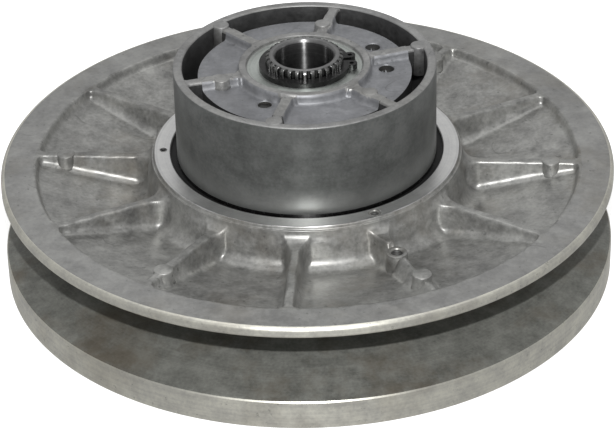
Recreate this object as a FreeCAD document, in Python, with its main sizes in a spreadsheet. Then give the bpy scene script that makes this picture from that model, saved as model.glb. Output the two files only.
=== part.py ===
"""Driven pulley of a continuously variable transmission.

Frame: origin at the bottom centre of the fixed sheave's rim, +Z along the shaft towards the cam cup.
Rest pose: sheaves closed. Lengths are millimetres and angles are degrees.
"""
import FreeCAD, Part
import os
import Sketcher

Vector = FreeCAD.Vector
Rotation = FreeCAD.Rotation
Z_AXIS = Vector(0, 0, 1)
X_AXIS = Vector(1, 0, 0)

SIZES = {
    # sheave pair
    "rim_radius": 133.35,
    "rim_chamfer": 0.8,
    "fixed_rim_height": 13.0,
    "belt_face_drop": 0.19,
    "fixed_lip_radius": 67.5,
    "fixed_lip_height": 28.3,
    "lip_round": 1.2,
    "bowl_radius": 65.5,
    "bowl_floor_height": 8.0,
    "bowl_wall_radius": 70.0,
    "underside_height": 0.5,
    "fixed_web_outer_height": 9.0,
    "fixed_web_inner_height": 20.5,
    "fixed_rim_inner_radius": 124.35,
    "fixed_rib_width": 4.5,
    "fixed_rib_inset": 2.5,
    "rib_overlap": 1.0,
    "rib_count": 12,
    # moving sheave
    "moving_rim_underside": 44.3,
    "moving_rim_top": 48.8,
    "moving_hub_radius": 63.8,
    "moving_face_inner_height": 28.15,
    "band_inner_radius": 118.4,
    "band_draft": 0.8,
    "recess_outer_height": 45.3,
    "recess_inner_height": 35.8,
    "collar_foot_radius": 71.4,
    "collar_radius": 67.0,
    "collar_edge_height": 53.2,
    "collar_face_radius": 66.3,
    "collar_face_height": 54.4,
    "collar_bore_radius": 59.3,
    "moving_floor_underside": 9.5,
    "moving_floor_top": 14.0,
    "sleeve_radius": 23.5,
    "sleeve_top": 38.5,
    "sleeve_bore_radius": 18.8,
    "moving_rib_width": 5.5,
    "moving_rib_azimuth": -4.5,
    "pad_radius": 4.0,
    "pad_circle": 106.0,
    "pad_count": 6,
    "opener_circle": 84.0,
    "opener_azimuth": -60.0,
    "opener_boss_radius": 4.7,
    "opener_boss_top": 47.2,
    "opener_hole_radius": 2.6,
    "opener_hole_depth": 9.8,
    "opener_face_radius": 5.2,
    # collar fasteners
    "screw_circle": 62.9,
    "screw_boss_circle": 63.6,
    "screw_boss_radius": 4.2,
    "screw_azimuth": -59.5,
    "screw_radius": 1.7,
    "screw_hole_depth": 8.0,
    "screw_length": 6.0,
    "hex_socket_radius": 0.9,
    "hex_socket_depth": 2.0,
    "locating_pin_circle": 62.4,
    "locating_pin_azimuth": 184.5,
    "locating_pin_radius": 0.9,
    "locating_pin_length": 6.0,
    "locating_pin_recess": 0.6,
    # bushings
    "large_bushing_bore": 56.46,
    "large_bushing_bottom": 43.5,
    "large_bushing_top": 52.5,
    "small_bushing_bore": 16.8,
    "small_bushing_length": 7.5,
    # shaft
    "bore_radius": 12.5,
    "bore_chamfer": 0.8,
    "shaft_radius": 16.75,
    "shaft_top": 99.8,
    "shaft_top_face_radius": 15.3,
    "shaft_top_chamfer": 1.4,
    "flange_radius": 30.0,
    "flange_top": 4.0,
    "sheave_centre_radius": 16.8,
    "spline_bottom": 70.0,
    "spline_count": 30,
    "spline_root_radius": 15.0,
    "spline_outer_radius": 17.2,
    "spline_root_half_width": 0.45,
    "spline_outer_half_width": 1.25,
    "drive_spline_count": 24,
    "drive_spline_top": 28.0,
    "drive_spline_root": 13.4,
    "drive_spline_half_width": 0.7,
    "drive_spline_inner": 12.0,
    # rivets
    "rivet_circle": 24.0,
    "rivet_count": 6,
    "rivet_radius": 2.5,
    "rivet_head_radius": 4.2,
    "rivet_head_height": 1.5,
    # bumper ring
    "bumper_inner_radius": 50.0,
    "bumper_outer_radius": 58.0,
    "bumper_top": 9.3,
    # cam cup
    "cup_radius": 56.4,
    "cup_inner_radius": 52.5,
    "cup_top": 95.8,
    "cup_bottom": 45.5,
    "cup_edge": 0.6,
    "disk_top": 91.15,
    "disk_underside": 86.0,
    "drum_radius": 45.8,
    "drum_inner_radius": 37.0,
    "drum_bottom": 45.0,
    "cup_hub_radius": 23.0,
    "cup_hub_bore": 15.05,
    "hub_ring_inner_radius": 25.05,
    "hub_ring_radius": 28.3,
    "hub_ring_foot_radius": 28.8,
    "hub_ring_top": 95.4,
    "hub_ledge_height": 93.8,
    "cup_rib_count": 6,
    "cup_rib_width": 5.0,
    "cup_rib_azimuth": 15.0,
    "cup_rib_inner_radius": 27.5,
    "cup_rib_sink": 1.0,
    "cup_rib_outer_radius": 54.0,
    "moat_rib_bottom": 82.5,
    "cup_spline_inner": 14.8,
    "cup_spline_inner_half_width": 1.24,
    "cup_spline_outer": 16.8,
    "cup_spline_outer_half_width": 0.73,
    # cam ramps
    "ramp_rise_per_turn": 255.1,
    "ramp_offset": 12.3,
    "ramp_start_angle": 20.0,
    "ramp_sweep_angle": 78.0,
    "ramp_inner_radius": 36.0,
    "ramp_outer_radius": 46.6,
    "ramp_depth": 62.0,
    "ramp_mean_radius": 41.0,
    "ramp_roof": 82.0,
    # rollers
    "roller_count": 3,
    "roller_radius": 8.0,
    "roller_height": 42.0,
    "roller_inner_face": 37.5,
    "roller_outer_face": 44.5,
    "liner_radius": 4.6,
    "liner_bore_radius": 3.55,
    "pin_radius": 3.5,
    "pin_inner_end": 30.6,
    "pin_outer_end": 46.2,
    "pin_chamfer": 0.4,
    "clip_inner_face": 44.7,
    "clip_outer_face": 45.5,
    "clip_radius": 5.6,
    "post_inner_face": 31.0,
    "post_thickness": 5.0,
    "post_width": 13.6,
    "post_sink": 1.0,
    "post_top": 48.5,
    # torsion spring
    "spring_radius": 27.0,
    "spring_wire_radius": 2.5,
    "spring_bottom": 19.5,
    "spring_top": 82.0,
    "spring_turns": 5.0,
    "spring_azimuth": -122.0,
    "spring_tang_circle": 32.3,
    "spring_tang_top": 90.0,
    "spring_tang_bottom": 14.4,
    "seat_inner_radius": 24.0,
    "upper_seat_radius": 29.5,
    "upper_seat_bottom": 84.5,
    "lower_washer_radius": 30.5,
    "lower_washer_top": 17.0,
    "washer_hole_radius": 2.9,
    # circlip
    "circlip_inner_radius": 15.7,
    "circlip_radius": 19.5,
    "circlip_groove_radius": 15.6,
    "circlip_top": 96.1,
    "circlip_gap_half_width": 1.1,
    "circlip_lug_angle": 10.5,
    "circlip_azimuth": 5.0,
    "circlip_lug_radius": 22.6,
    "circlip_lug_width": 4.8,
    "circlip_lug_hole_radius": 1.0,
}

# Spring anchor holes in the cup's disk: distance from the axis, azimuth, radius.
ANCHOR_HOLES = (
    ("anchor_hole_1", 32.3, -122.0, 2.9),
    ("anchor_hole_2", 35.1, 2.0, 3.3),
    ("anchor_hole_3", 36.4, 35.0, 3.2),
)

doc = FreeCAD.newDocument("driven_pulley")
sheet = doc.addObject("Spreadsheet::Sheet", "Sizes")
row = 1
for alias, value in SIZES.items():
    sheet.set(f"A{row}", alias)
    sheet.set(f"B{row}", str(value))
    sheet.setAlias(f"B{row}", alias)
    row += 1
for name, circle, azimuth, radius in ANCHOR_HOLES:
    for part, value in (("circle", circle), ("azimuth", azimuth), ("radius", radius)):
        sheet.set(f"A{row}", f"{name}_{part}")
        sheet.set(f"B{row}", str(value))
        sheet.setAlias(f"B{row}", f"{name}_{part}")
        SIZES[f"{name}_{part}"] = value
        row += 1
doc.recompute()


def total(terms):
    """Value of a sum of sheet names, such as "rim_radius - rim_chamfer"."""
    value = 0.0
    sign = 1.0
    for word in terms.split():
        if word in "+-":
            sign = 1.0 if word == "+" else -1.0
        elif word != "0":
            value += sign * SIZES[word]
    return value


def bound(terms):
    """The same sum written as an expression on the spreadsheet."""
    words = []
    for word in terms.split():
        words.append(word if word in "+-0" else f"Sizes.{word}")
    return " ".join(words)


def origin_feature(body, role):
    for feature in body.Origin.OriginFeatures:
        if feature.Role == role:
            return feature
    raise ValueError(role)


def draw_outline(sketch, corners):
    """Closed outline of straight edges; every corner is held at sums of sheet sizes."""
    points = [Vector(total(across), total(up), 0) for across, up in corners]
    count = len(points)
    for index in range(count):
        sketch.addGeometry(Part.LineSegment(points[index], points[(index + 1) % count]), False)
    for index in range(count):
        sketch.addConstraint(Sketcher.Constraint("Coincident", index, 2, (index + 1) % count, 1))
    for index, (across, up) in enumerate(corners):
        for kind, terms, axis in (("DistanceX", across, -2), ("DistanceY", up, -1)):
            if terms == "0":
                sketch.addConstraint(Sketcher.Constraint("PointOnObject", index, 1, axis))
                continue
            number = sketch.addConstraint(Sketcher.Constraint(kind, -1, 1, index, 1, total(terms)))
            sketch.setExpression(f"Constraints[{number}]", bound(terms))


def body_sketch(body, name, plane, corners, lift=None):
    """Sketch on one of the body's own origin planes, raised along the plane's normal by `lift`."""
    sketch = body.newObject("Sketcher::SketchObject", name)
    sketch.AttachmentSupport = [(origin_feature(body, plane), "")]
    sketch.MapMode = "FlatFace"
    if lift:
        sketch.setExpression("AttachmentOffset.Base.z", bound(lift))
    draw_outline(sketch, corners)
    return sketch


def new_body(label):
    body = doc.addObject("PartDesign::Body", label)
    body.Label = label
    return body


def turn(body, name, corners, axis="V_Axis"):
    """Add a full turn of an outline drawn in the XZ plane."""
    sketch = body_sketch(body, f"{name}_outline", "XZ_Plane", corners)
    turned = body.newObject("PartDesign::Revolution", name)
    turned.Profile = sketch
    turned.ReferenceAxis = (sketch, [axis])
    turned.Angle = 360
    doc.recompute()
    return turned


def turned_body(label, corners, axis="V_Axis"):
    body = new_body(label)
    turn(body, f"{label}_turned", corners, axis)
    return body


def pattern(body, features, count):
    """Repeat features evenly about the body's Z axis."""
    repeated = body.newObject("PartDesign::PolarPattern", f"{features[0].Name}_pattern")
    repeated.Originals = features
    repeated.Axis = (origin_feature(body, "Z_Axis"), [""])
    repeated.Angle = 360
    repeated.setExpression("Occurrences", bound(count))
    body.Tip = repeated
    doc.recompute()
    return repeated


def rib_pad(body, name, corners, width):
    """Rib whose side outline lies in the XZ plane, thickened both ways."""
    sketch = body_sketch(body, f"{name}_outline", "XZ_Plane", corners)
    pad = body.newObject("PartDesign::Pad", name)
    pad.Profile = sketch
    pad.SideType = "Symmetric"
    pad.setExpression("Length", bound(width))
    doc.recompute()
    return pad


def spline_spaces(body, name, radii, half_widths, bottom, top, count, turn_by=0.0):
    """Tapered spline spaces, cut from `top` down to `bottom`; the first is `turn_by` from the X axis."""
    before = body.Shape.Volume
    sketch = body.newObject("Sketcher::SketchObject", f"{name}_outline")
    sketch.AttachmentSupport = [(origin_feature(body, "XY_Plane"), "")]
    sketch.MapMode = "FlatFace"
    sketch.AttachmentOffset = turned_placement(0.0, turn_by)
    sketch.setExpression("AttachmentOffset.Base.z", bound(top))
    inner, outer = total(radii[0]), total(radii[1])
    near, far = total(half_widths[0]), total(half_widths[1])
    points = (Vector(inner, -near, 0), Vector(outer, -far, 0), Vector(outer, far, 0), Vector(inner, near, 0))
    for index in range(4):
        sketch.addGeometry(Part.LineSegment(points[index], points[(index + 1) % 4]), False)
    for index in range(4):
        sketch.addConstraint(Sketcher.Constraint("Coincident", index, 2, (index + 1) % 4, 1))
    sketch.addConstraint(Sketcher.Constraint("Symmetric", 0, 1, 3, 1, -1))
    sketch.addConstraint(Sketcher.Constraint("Symmetric", 1, 1, 2, 1, -1))
    held = (
        ("DistanceX", 3, inner, radii[0]),
        ("DistanceX", 2, outer, radii[1]),
        ("DistanceY", 3, near, half_widths[0]),
        ("DistanceY", 2, far, half_widths[1]),
    )
    for kind, corner, value, terms in held:
        number = sketch.addConstraint(Sketcher.Constraint(kind, -1, 1, corner, 1, value))
        sketch.setExpression(f"Constraints[{number}]", bound(terms))
    pocket = body.newObject("PartDesign::Pocket", name)
    pocket.Profile = sketch
    pocket.setExpression("Length", f"{bound(top)} - ({bound(bottom)})")
    doc.recompute()
    pattern(body, [pocket], count)
    if body.Shape.Volume >= before:
        raise RuntimeError(f"{name} removes nothing")


def drill(body, name, radius, depth, mouth, circle, azimuth):
    """Round hole along Z whose upper end is at height `mouth`."""
    before = body.Shape.Volume
    hole = body_primitive(body, "SubtractiveCylinder", name, radius, depth, circle, azimuth)
    hole.setExpression("Placement.Base.z", f"{bound(mouth)} - ({bound(depth)})")
    doc.recompute()
    if body.Shape.Volume >= before:
        raise RuntimeError(f"{name} removes nothing")
    return hole


def body_primitive(body, kind, name, radius, height, circle, azimuth, bottom=None):
    """Cylinder of a body, upright at a polar place."""
    feature = body.newObject(f"PartDesign::{kind}", name)
    feature.setExpression("Radius", bound(radius))
    feature.setExpression("Height", bound(height))
    around = f"Sizes.{azimuth}" if azimuth else "0"
    feature.setExpression("Placement.Base.x", f"Sizes.{circle} * cos({around})")
    feature.setExpression("Placement.Base.y", f"Sizes.{circle} * sin({around})")
    if bottom:
        feature.setExpression("Placement.Base.z", bound(bottom))
    doc.recompute()
    return feature


def make_fixed_sheave():
    body = turned_body("fixed_sheave", [
        ("sheave_centre_radius", "flange_top"),
        ("flange_radius + rib_overlap", "flange_top"),
        ("flange_radius + rib_overlap", "underside_height"),
        ("bowl_wall_radius", "underside_height"),
        ("bowl_wall_radius + rib_overlap", "fixed_web_inner_height"),
        ("fixed_rim_inner_radius", "fixed_web_outer_height"),
        ("fixed_rim_inner_radius", "0"),
        ("rim_radius - rim_chamfer", "0"),
        ("rim_radius", "rim_chamfer"),
        ("rim_radius", "fixed_rim_height - rim_chamfer"),
        ("rim_radius - rim_chamfer", "fixed_rim_height + belt_face_drop"),
        ("fixed_lip_radius", "fixed_lip_height"),
        ("bowl_radius", "fixed_lip_height - lip_round"),
        ("bowl_radius", "bowl_floor_height"),
        ("sheave_centre_radius", "bowl_floor_height"),
    ])
    rib = rib_pad(body, "underside_rib", [
        ("bowl_wall_radius - rib_overlap", "underside_height"),
        ("fixed_rim_inner_radius + rib_overlap", "fixed_rib_inset"),
        ("fixed_rim_inner_radius + rib_overlap", "fixed_web_outer_height + rib_overlap"),
        ("bowl_wall_radius - rib_overlap", "fixed_web_inner_height + rib_overlap"),
    ], "fixed_rib_width")
    pattern(body, [rib], "rib_count")
    hole = drill(body, "rivet_hole", "rivet_radius", "bowl_floor_height", "bowl_floor_height",
                 "rivet_circle", None)
    sink = drill(body, "rivet_head_seat", "rivet_head_radius", "rivet_head_height", "bowl_floor_height",
                 "rivet_circle", None)
    pattern(body, [hole, sink], "rivet_count")
    return body


def make_shaft():
    body = turned_body("splined_shaft", [
        ("bore_radius", "underside_height + bore_chamfer"),
        ("bore_radius + bore_chamfer", "underside_height"),
        ("flange_radius", "underside_height"),
        ("flange_radius", "flange_top"),
        ("shaft_radius", "flange_top"),
        ("shaft_radius", "hub_ledge_height"),
        ("circlip_groove_radius", "hub_ledge_height"),
        ("circlip_groove_radius", "circlip_top"),
        ("shaft_radius", "circlip_top"),
        ("shaft_radius", "shaft_top - shaft_top_chamfer"),
        ("shaft_top_face_radius", "shaft_top"),
        ("bore_radius + bore_chamfer", "shaft_top"),
        ("bore_radius", "shaft_top - bore_chamfer"),
    ])
    spline_spaces(body, "outer_spline", ("spline_root_radius", "spline_outer_radius"),
                  ("spline_root_half_width", "spline_outer_half_width"),
                  "spline_bottom", "shaft_top", "spline_count")
    spline_spaces(body, "drive_spline", ("drive_spline_inner", "drive_spline_root"),
                  ("drive_spline_half_width", "drive_spline_half_width"),
                  "0", "drive_spline_top", "drive_spline_count")
    hole = drill(body, "flange_rivet_hole", "rivet_radius", "flange_top", "flange_top",
                 "rivet_circle", None)
    sink = drill(body, "flange_head_seat", "rivet_head_radius", "underside_height + rivet_head_height",
                 "underside_height + rivet_head_height", "rivet_circle", None)
    pattern(body, [hole, sink], "rivet_count")
    return body


def make_rivets():
    """Double-headed rivets that clamp the shaft's flange under the bowl floor."""
    body = new_body("shaft_rivets")
    shank = body_primitive(body, "AdditiveCylinder", "rivet_shank", "rivet_radius",
                           "bowl_floor_height - underside_height", "rivet_circle", None, "underside_height")
    upper = body_primitive(body, "AdditiveCylinder", "rivet_upper_head", "rivet_head_radius",
                           "rivet_head_height", "rivet_circle", None, "bowl_floor_height - rivet_head_height")
    lower = body_primitive(body, "AdditiveCylinder", "rivet_lower_head", "rivet_head_radius",
                           "rivet_head_height", "rivet_circle", None, "underside_height")
    pattern(body, [shank, upper, lower], "rivet_count")
    return body


def make_sliding_sheave():
    body = turned_body("sliding_sheave", [
        ("sleeve_bore_radius", "moving_floor_underside"),
        ("moving_hub_radius", "moving_floor_underside"),
        ("moving_hub_radius", "moving_face_inner_height"),
        ("rim_radius - rim_chamfer", "moving_rim_underside - belt_face_drop"),
        ("rim_radius", "moving_rim_underside + rim_chamfer"),
        ("rim_radius", "moving_rim_top - rim_chamfer"),
        ("rim_radius - rim_chamfer", "moving_rim_top"),
        ("band_inner_radius", "moving_rim_top"),
        ("band_inner_radius - band_draft", "recess_outer_height"),
        ("collar_foot_radius", "recess_inner_height"),
        ("collar_radius", "collar_edge_height"),
        ("collar_face_radius", "collar_face_height"),
        ("collar_bore_radius", "collar_face_height"),
        ("collar_bore_radius", "moving_floor_top"),
        ("sleeve_radius", "moving_floor_top"),
        ("sleeve_radius", "sleeve_top"),
        ("sleeve_bore_radius", "sleeve_top"),
    ])
    rib = rib_pad(body, "rib", [
        ("collar_radius - rib_overlap", "recess_inner_height - rib_overlap"),
        ("band_inner_radius + rib_overlap", "recess_outer_height - rib_overlap"),
        ("band_inner_radius + rib_overlap", "moving_rim_top"),
        ("collar_radius - rib_overlap", "moving_rim_top"),
    ], "moving_rib_width")
    pattern(body, [rib], "rib_count")
    pad = body_primitive(body, "AdditiveCylinder", "ejector_pad", "pad_radius",
                         "moving_rim_top - recess_outer_height + rib_overlap", "pad_circle", None,
                         "recess_outer_height - rib_overlap")
    pattern(body, [pad], "pad_count")
    body_primitive(body, "AdditiveCylinder", "opener_boss", "opener_boss_radius",
                   "opener_boss_top - recess_inner_height", "opener_circle", "opener_azimuth",
                   "recess_inner_height")
    drill(body, "opener_spot_face", "opener_face_radius", "moving_rim_top - opener_boss_top",
          "moving_rim_top", "opener_circle", "opener_azimuth")
    drill(body, "opener_hole", "opener_hole_radius", "opener_hole_depth", "opener_boss_top",
          "opener_circle", "opener_azimuth")
    body_primitive(body, "AdditiveCylinder", "screw_boss", "screw_boss_radius",
                   "collar_edge_height - recess_inner_height", "screw_boss_circle", "screw_azimuth",
                   "recess_inner_height")
    drill(body, "screw_hole", "screw_radius", "screw_hole_depth", "collar_face_height",
          "screw_circle", "screw_azimuth")
    drill(body, "locating_pin_hole", "locating_pin_radius", "locating_pin_length + locating_pin_recess",
          "collar_face_height", "locating_pin_circle", "locating_pin_azimuth")
    post = rib_pad(body, "roller_post", [
        ("post_inner_face", "moving_floor_top - post_sink"),
        ("post_inner_face + post_thickness", "moving_floor_top - post_sink"),
        ("post_inner_face + post_thickness", "post_top"),
        ("post_inner_face", "post_top"),
    ], "post_width")
    pattern(body, [post], "roller_count")
    pin_hole = turned_groove(body, "pin_hole", [
        ("pin_inner_end", "roller_height"),
        ("pin_outer_end", "roller_height"),
        ("pin_outer_end", "roller_height + pin_radius"),
        ("pin_inner_end", "roller_height + pin_radius"),
    ])
    pattern(body, [pin_hole], "roller_count")
    body.Placement = turned_placement(0.0, SIZES["moving_rib_azimuth"])
    return body


def turned_groove(body, name, corners):
    """Groove turned about the first edge of its outline."""
    before = body.Shape.Volume
    sketch = body_sketch(body, f"{name}_outline", "XZ_Plane", corners)
    groove = body.newObject("PartDesign::Groove", name)
    groove.Profile = sketch
    groove.ReferenceAxis = (sketch, ["Edge1"])
    groove.Angle = 360
    doc.recompute()
    if body.Shape.Volume >= before:
        raise RuntimeError(f"{name} removes nothing")
    return groove


def turned_placement(height, azimuth):
    return FreeCAD.Placement(Vector(0, 0, height), Rotation(Z_AXIS, azimuth))


def make_ring(label, inner, outer, bottom, top):
    return turned_body(label, [(inner, bottom), (outer, bottom), (outer, top), (inner, top)])


def make_bushings():
    make_ring("large_bushing", "large_bushing_bore", "collar_bore_radius",
              "large_bushing_bottom", "large_bushing_top")
    make_ring("small_bushing_lower", "small_bushing_bore", "sleeve_bore_radius",
              "moving_floor_underside", "moving_floor_underside + small_bushing_length")
    make_ring("small_bushing_upper", "small_bushing_bore", "sleeve_bore_radius",
              "sleeve_top - small_bushing_length", "sleeve_top")


def make_collar_fasteners():
    """Set screw with a hex socket, and a plain locating pin, both in the collar's face."""
    screw = new_body("collar_set_screw")
    body_primitive(screw, "AdditiveCylinder", "screw_body", "screw_radius", "screw_length",
                   "screw_circle", "screw_azimuth", "collar_face_height - screw_hole_depth")
    socket = screw.newObject("PartDesign::SubtractivePrism", "hex_socket")
    socket.Polygon = 6
    socket.setExpression("Circumradius", bound("hex_socket_radius"))
    socket.setExpression("Height", bound("hex_socket_depth"))
    socket.setExpression("Placement.Base.x", "Sizes.screw_circle * cos(Sizes.screw_azimuth)")
    socket.setExpression("Placement.Base.y", "Sizes.screw_circle * sin(Sizes.screw_azimuth)")
    socket.setExpression("Placement.Base.z",
                         bound("collar_face_height - screw_hole_depth + screw_length - hex_socket_depth"))
    doc.recompute()
    screw.Placement = turned_placement(0.0, SIZES["moving_rib_azimuth"])
    pin = new_body("bushing_locating_pin")
    body_primitive(pin, "AdditiveCylinder", "pin_body", "locating_pin_radius", "locating_pin_length",
                   "locating_pin_circle", "locating_pin_azimuth",
                   "collar_face_height - locating_pin_recess - locating_pin_length")
    pin.Placement = turned_placement(0.0, SIZES["moving_rib_azimuth"])


def make_rollers():
    """Three ramp rollers, each on a liner that turns on a radial pin held by a clip."""
    shapes = (
        ("roller", "liner_radius", "roller_radius", "roller_inner_face", "roller_outer_face"),
        ("roller_liner", "liner_bore_radius", "liner_radius", "roller_inner_face", "roller_outer_face"),
        ("pin_clip", "pin_radius", "clip_radius", "clip_inner_face", "clip_outer_face"),
    )
    for number in range(int(SIZES["roller_count"])):
        azimuth = SIZES["moving_rib_azimuth"] + number * 360.0 / SIZES["roller_count"]
        place = turned_placement(SIZES["roller_height"], azimuth)
        for name, inner, outer, near, far in shapes:
            corners = [(near, inner), (far, inner), (far, outer), (near, outer)]
            ring = turned_body(f"{name}_{number + 1}", corners, "H_Axis")
            ring.Placement = place
        pin = turned_body(f"roller_pin_{number + 1}", [
            ("pin_inner_end", "0"),
            ("pin_outer_end", "0"),
            ("pin_outer_end", "pin_radius - pin_chamfer"),
            ("pin_outer_end - pin_chamfer", "pin_radius"),
            ("pin_inner_end", "pin_radius"),
        ], "H_Axis")
        pin.Placement = place


def make_ramp_room():
    """Space below the three helical ramps, which the rollers run in."""
    sweeps = []
    start_angle = SIZES["ramp_start_angle"]
    rise_per_degree = SIZES["ramp_rise_per_turn"] / 360.0
    start_height = SIZES["roller_height"] + SIZES["ramp_offset"] - start_angle * rise_per_degree
    for number in range(int(SIZES["roller_count"])):
        azimuth = SIZES["moving_rib_azimuth"] + number * 360.0 / SIZES["roller_count"] - start_angle
        path = doc.addObject("Part::Helix", f"ramp_path_{number + 1}")
        path.setExpression("Pitch", "Sizes.ramp_rise_per_turn")
        path.setExpression("Height", "Sizes.ramp_rise_per_turn * Sizes.ramp_sweep_angle / 360")
        path.setExpression("Radius", "Sizes.ramp_mean_radius")
        path.Placement = turned_placement(start_height, azimuth)
        section = doc.addObject("Sketcher::SketchObject", f"ramp_section_{number + 1}")
        draw_outline(section, [
            ("ramp_inner_radius", "0"),
            ("ramp_outer_radius", "0"),
            ("ramp_outer_radius", "0 - ramp_depth"),
            ("ramp_inner_radius", "0 - ramp_depth"),
        ])
        upright = FreeCAD.Placement(Vector(0, 0, 0), Rotation(X_AXIS, 90))
        section.Placement = path.Placement.multiply(upright)
        sweep = doc.addObject("Part::Sweep", f"ramp_sweep_{number + 1}")
        sweep.Sections = [section]
        sweep.Spine = (path, ["Edge1"])
        sweep.Solid = True
        sweep.Frenet = True
        sweeps.append(sweep)
    doc.recompute()
    joined = doc.addObject("Part::MultiFuse", "ramp_sweeps")
    joined.Shapes = sweeps
    limit = doc.addObject("Part::Cylinder", "ramp_limit")
    limit.setExpression("Radius", bound("ramp_outer_radius + rib_overlap"))
    limit.setExpression("Height", bound("ramp_roof - drum_bottom + rib_overlap"))
    limit.setExpression("Placement.Base.z", bound("drum_bottom - rib_overlap"))
    room = doc.addObject("Part::Common", "ramp_room")
    room.Base = joined
    room.Tool = limit
    doc.recompute()
    return room


def make_cam_cup():
    """Cup casting: outer wall, ribbed disk, splined hub and the drum that carries the helical ramps."""
    body = turned_body("cup_casting", [
        ("cup_hub_bore", "spline_bottom"),
        ("cup_hub_radius", "spline_bottom"),
        ("cup_hub_radius", "disk_underside"),
        ("drum_inner_radius", "disk_underside"),
        ("drum_inner_radius", "drum_bottom"),
        ("drum_radius", "drum_bottom"),
        ("drum_radius", "disk_top"),
        ("hub_ring_foot_radius", "disk_top"),
        ("hub_ring_radius", "hub_ring_top"),
        ("hub_ring_inner_radius", "hub_ring_top"),
        ("hub_ring_inner_radius", "hub_ledge_height"),
        ("cup_hub_bore", "hub_ledge_height"),
    ])
    rib = rib_pad(body, "cup_rib", [
        ("cup_rib_inner_radius", "disk_top - cup_rib_sink"),
        ("drum_radius - cup_rib_sink", "disk_top - cup_rib_sink"),
        ("drum_radius - cup_rib_sink", "moat_rib_bottom"),
        ("cup_rib_outer_radius", "moat_rib_bottom"),
        ("cup_rib_outer_radius", "cup_top - cup_edge"),
        ("cup_rib_inner_radius", "cup_top - cup_edge"),
    ], "cup_rib_width")
    pattern(body, [rib], "cup_rib_count")
    turn(body, "cup_wall", [
        ("cup_inner_radius", "cup_bottom"),
        ("cup_radius", "cup_bottom"),
        ("cup_radius", "cup_top - cup_edge"),
        ("cup_radius - cup_edge", "cup_top"),
        ("cup_inner_radius + cup_edge", "cup_top"),
        ("cup_inner_radius", "cup_top - cup_edge"),
    ])
    # The shaft's teeth lie half a pitch round from its spaces, and the whole cup is turned to its ribs.
    half_spline_pitch = 180.0 / SIZES["spline_count"]
    spline_spaces(body, "cup_spline", ("cup_spline_inner", "cup_spline_outer"),
                  ("cup_spline_inner_half_width", "cup_spline_outer_half_width"),
                  "spline_bottom - rib_overlap", "hub_ledge_height", "spline_count",
                  half_spline_pitch - SIZES["cup_rib_azimuth"])
    body.Placement = turned_placement(0.0, SIZES["cup_rib_azimuth"])
    holes = []
    for name, _circle, _azimuth, _radius in ANCHOR_HOLES:
        hole = doc.addObject("Part::Cylinder", name)
        hole.setExpression("Radius", f"Sizes.{name}_radius")
        hole.setExpression("Height", bound("disk_top - disk_underside + rib_overlap"))
        hole.setExpression("Placement.Base.x", f"Sizes.{name}_circle * cos(Sizes.{name}_azimuth)")
        hole.setExpression("Placement.Base.y", f"Sizes.{name}_circle * sin(Sizes.{name}_azimuth)")
        hole.setExpression("Placement.Base.z", bound("disk_underside"))
        holes.append(hole)
    removed = doc.addObject("Part::MultiFuse", "cup_openings")
    removed.Shapes = [make_ramp_room()] + holes
    cup = doc.addObject("Part::Cut", "cam_cup")
    cup.Base = body
    cup.Tool = removed
    doc.recompute()
    return cup


def make_spring():
    """Torsion spring: coils, a lower end down into the washer and an upper end out to its anchor hole."""
    path = doc.addObject("Part::Helix", "spring_path")
    path.setExpression("Height", bound("spring_top - spring_bottom"))
    path.setExpression("Pitch", "(Sizes.spring_top - Sizes.spring_bottom) / Sizes.spring_turns")
    path.setExpression("Radius", "Sizes.spring_radius")
    path.Placement = turned_placement(SIZES["spring_bottom"], SIZES["spring_azimuth"])
    section = doc.addObject("Part::Circle", "spring_section")
    section.setExpression("Radius", "Sizes.spring_wire_radius")
    across = FreeCAD.Placement(Vector(SIZES["spring_radius"], 0, 0), Rotation(X_AXIS, 90))
    section.Placement = path.Placement.multiply(across)
    coils = doc.addObject("Part::Sweep", "spring_coils")
    coils.Sections = [section]
    coils.Spine = (path, ["Edge1"])
    coils.Solid = True
    coils.Frenet = True
    pieces = [coils]
    uprights = (
        ("spring_lower_end", "spring_radius", "spring_tang_bottom", "spring_bottom"),
        ("spring_upper_end", "spring_tang_circle", "spring_top", "spring_tang_top"),
    )
    for name, circle, bottom, top in uprights:
        upright = doc.addObject("Part::Cylinder", name)
        upright.setExpression("Radius", "Sizes.spring_wire_radius")
        upright.setExpression("Height", f"{bound(top)} - {bound(bottom)}")
        upright.setExpression("Placement.Base.x", f"Sizes.{circle} * cos(Sizes.spring_azimuth)")
        upright.setExpression("Placement.Base.y", f"Sizes.{circle} * sin(Sizes.spring_azimuth)")
        upright.setExpression("Placement.Base.z", bound(bottom))
        pieces.append(upright)
        knuckle = doc.addObject("Part::Sphere", f"{name}_bend")
        knuckle.setExpression("Radius", "Sizes.spring_wire_radius")
        knuckle.setExpression("Placement.Base.x", f"Sizes.{circle} * cos(Sizes.spring_azimuth)")
        knuckle.setExpression("Placement.Base.y", f"Sizes.{circle} * sin(Sizes.spring_azimuth)")
        knuckle.setExpression("Placement.Base.z", bound("spring_bottom" if bottom == "spring_tang_bottom"
                                                        else "spring_top"))
        pieces.append(knuckle)
    stub = doc.addObject("Part::Cylinder", "spring_upper_stub")
    stub.setExpression("Radius", "Sizes.spring_wire_radius")
    stub.setExpression("Height", bound("spring_tang_circle - spring_radius"))
    outward = turned_placement(SIZES["spring_top"], SIZES["spring_azimuth"])
    level = FreeCAD.Placement(Vector(SIZES["spring_radius"], 0, 0), Rotation(Vector(0, 1, 0), 90))
    stub.Placement = outward.multiply(level)
    pieces.append(stub)
    doc.recompute()
    spring = doc.addObject("Part::MultiFuse", "torsion_spring")
    spring.Shapes = pieces
    doc.recompute()
    return spring


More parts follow.
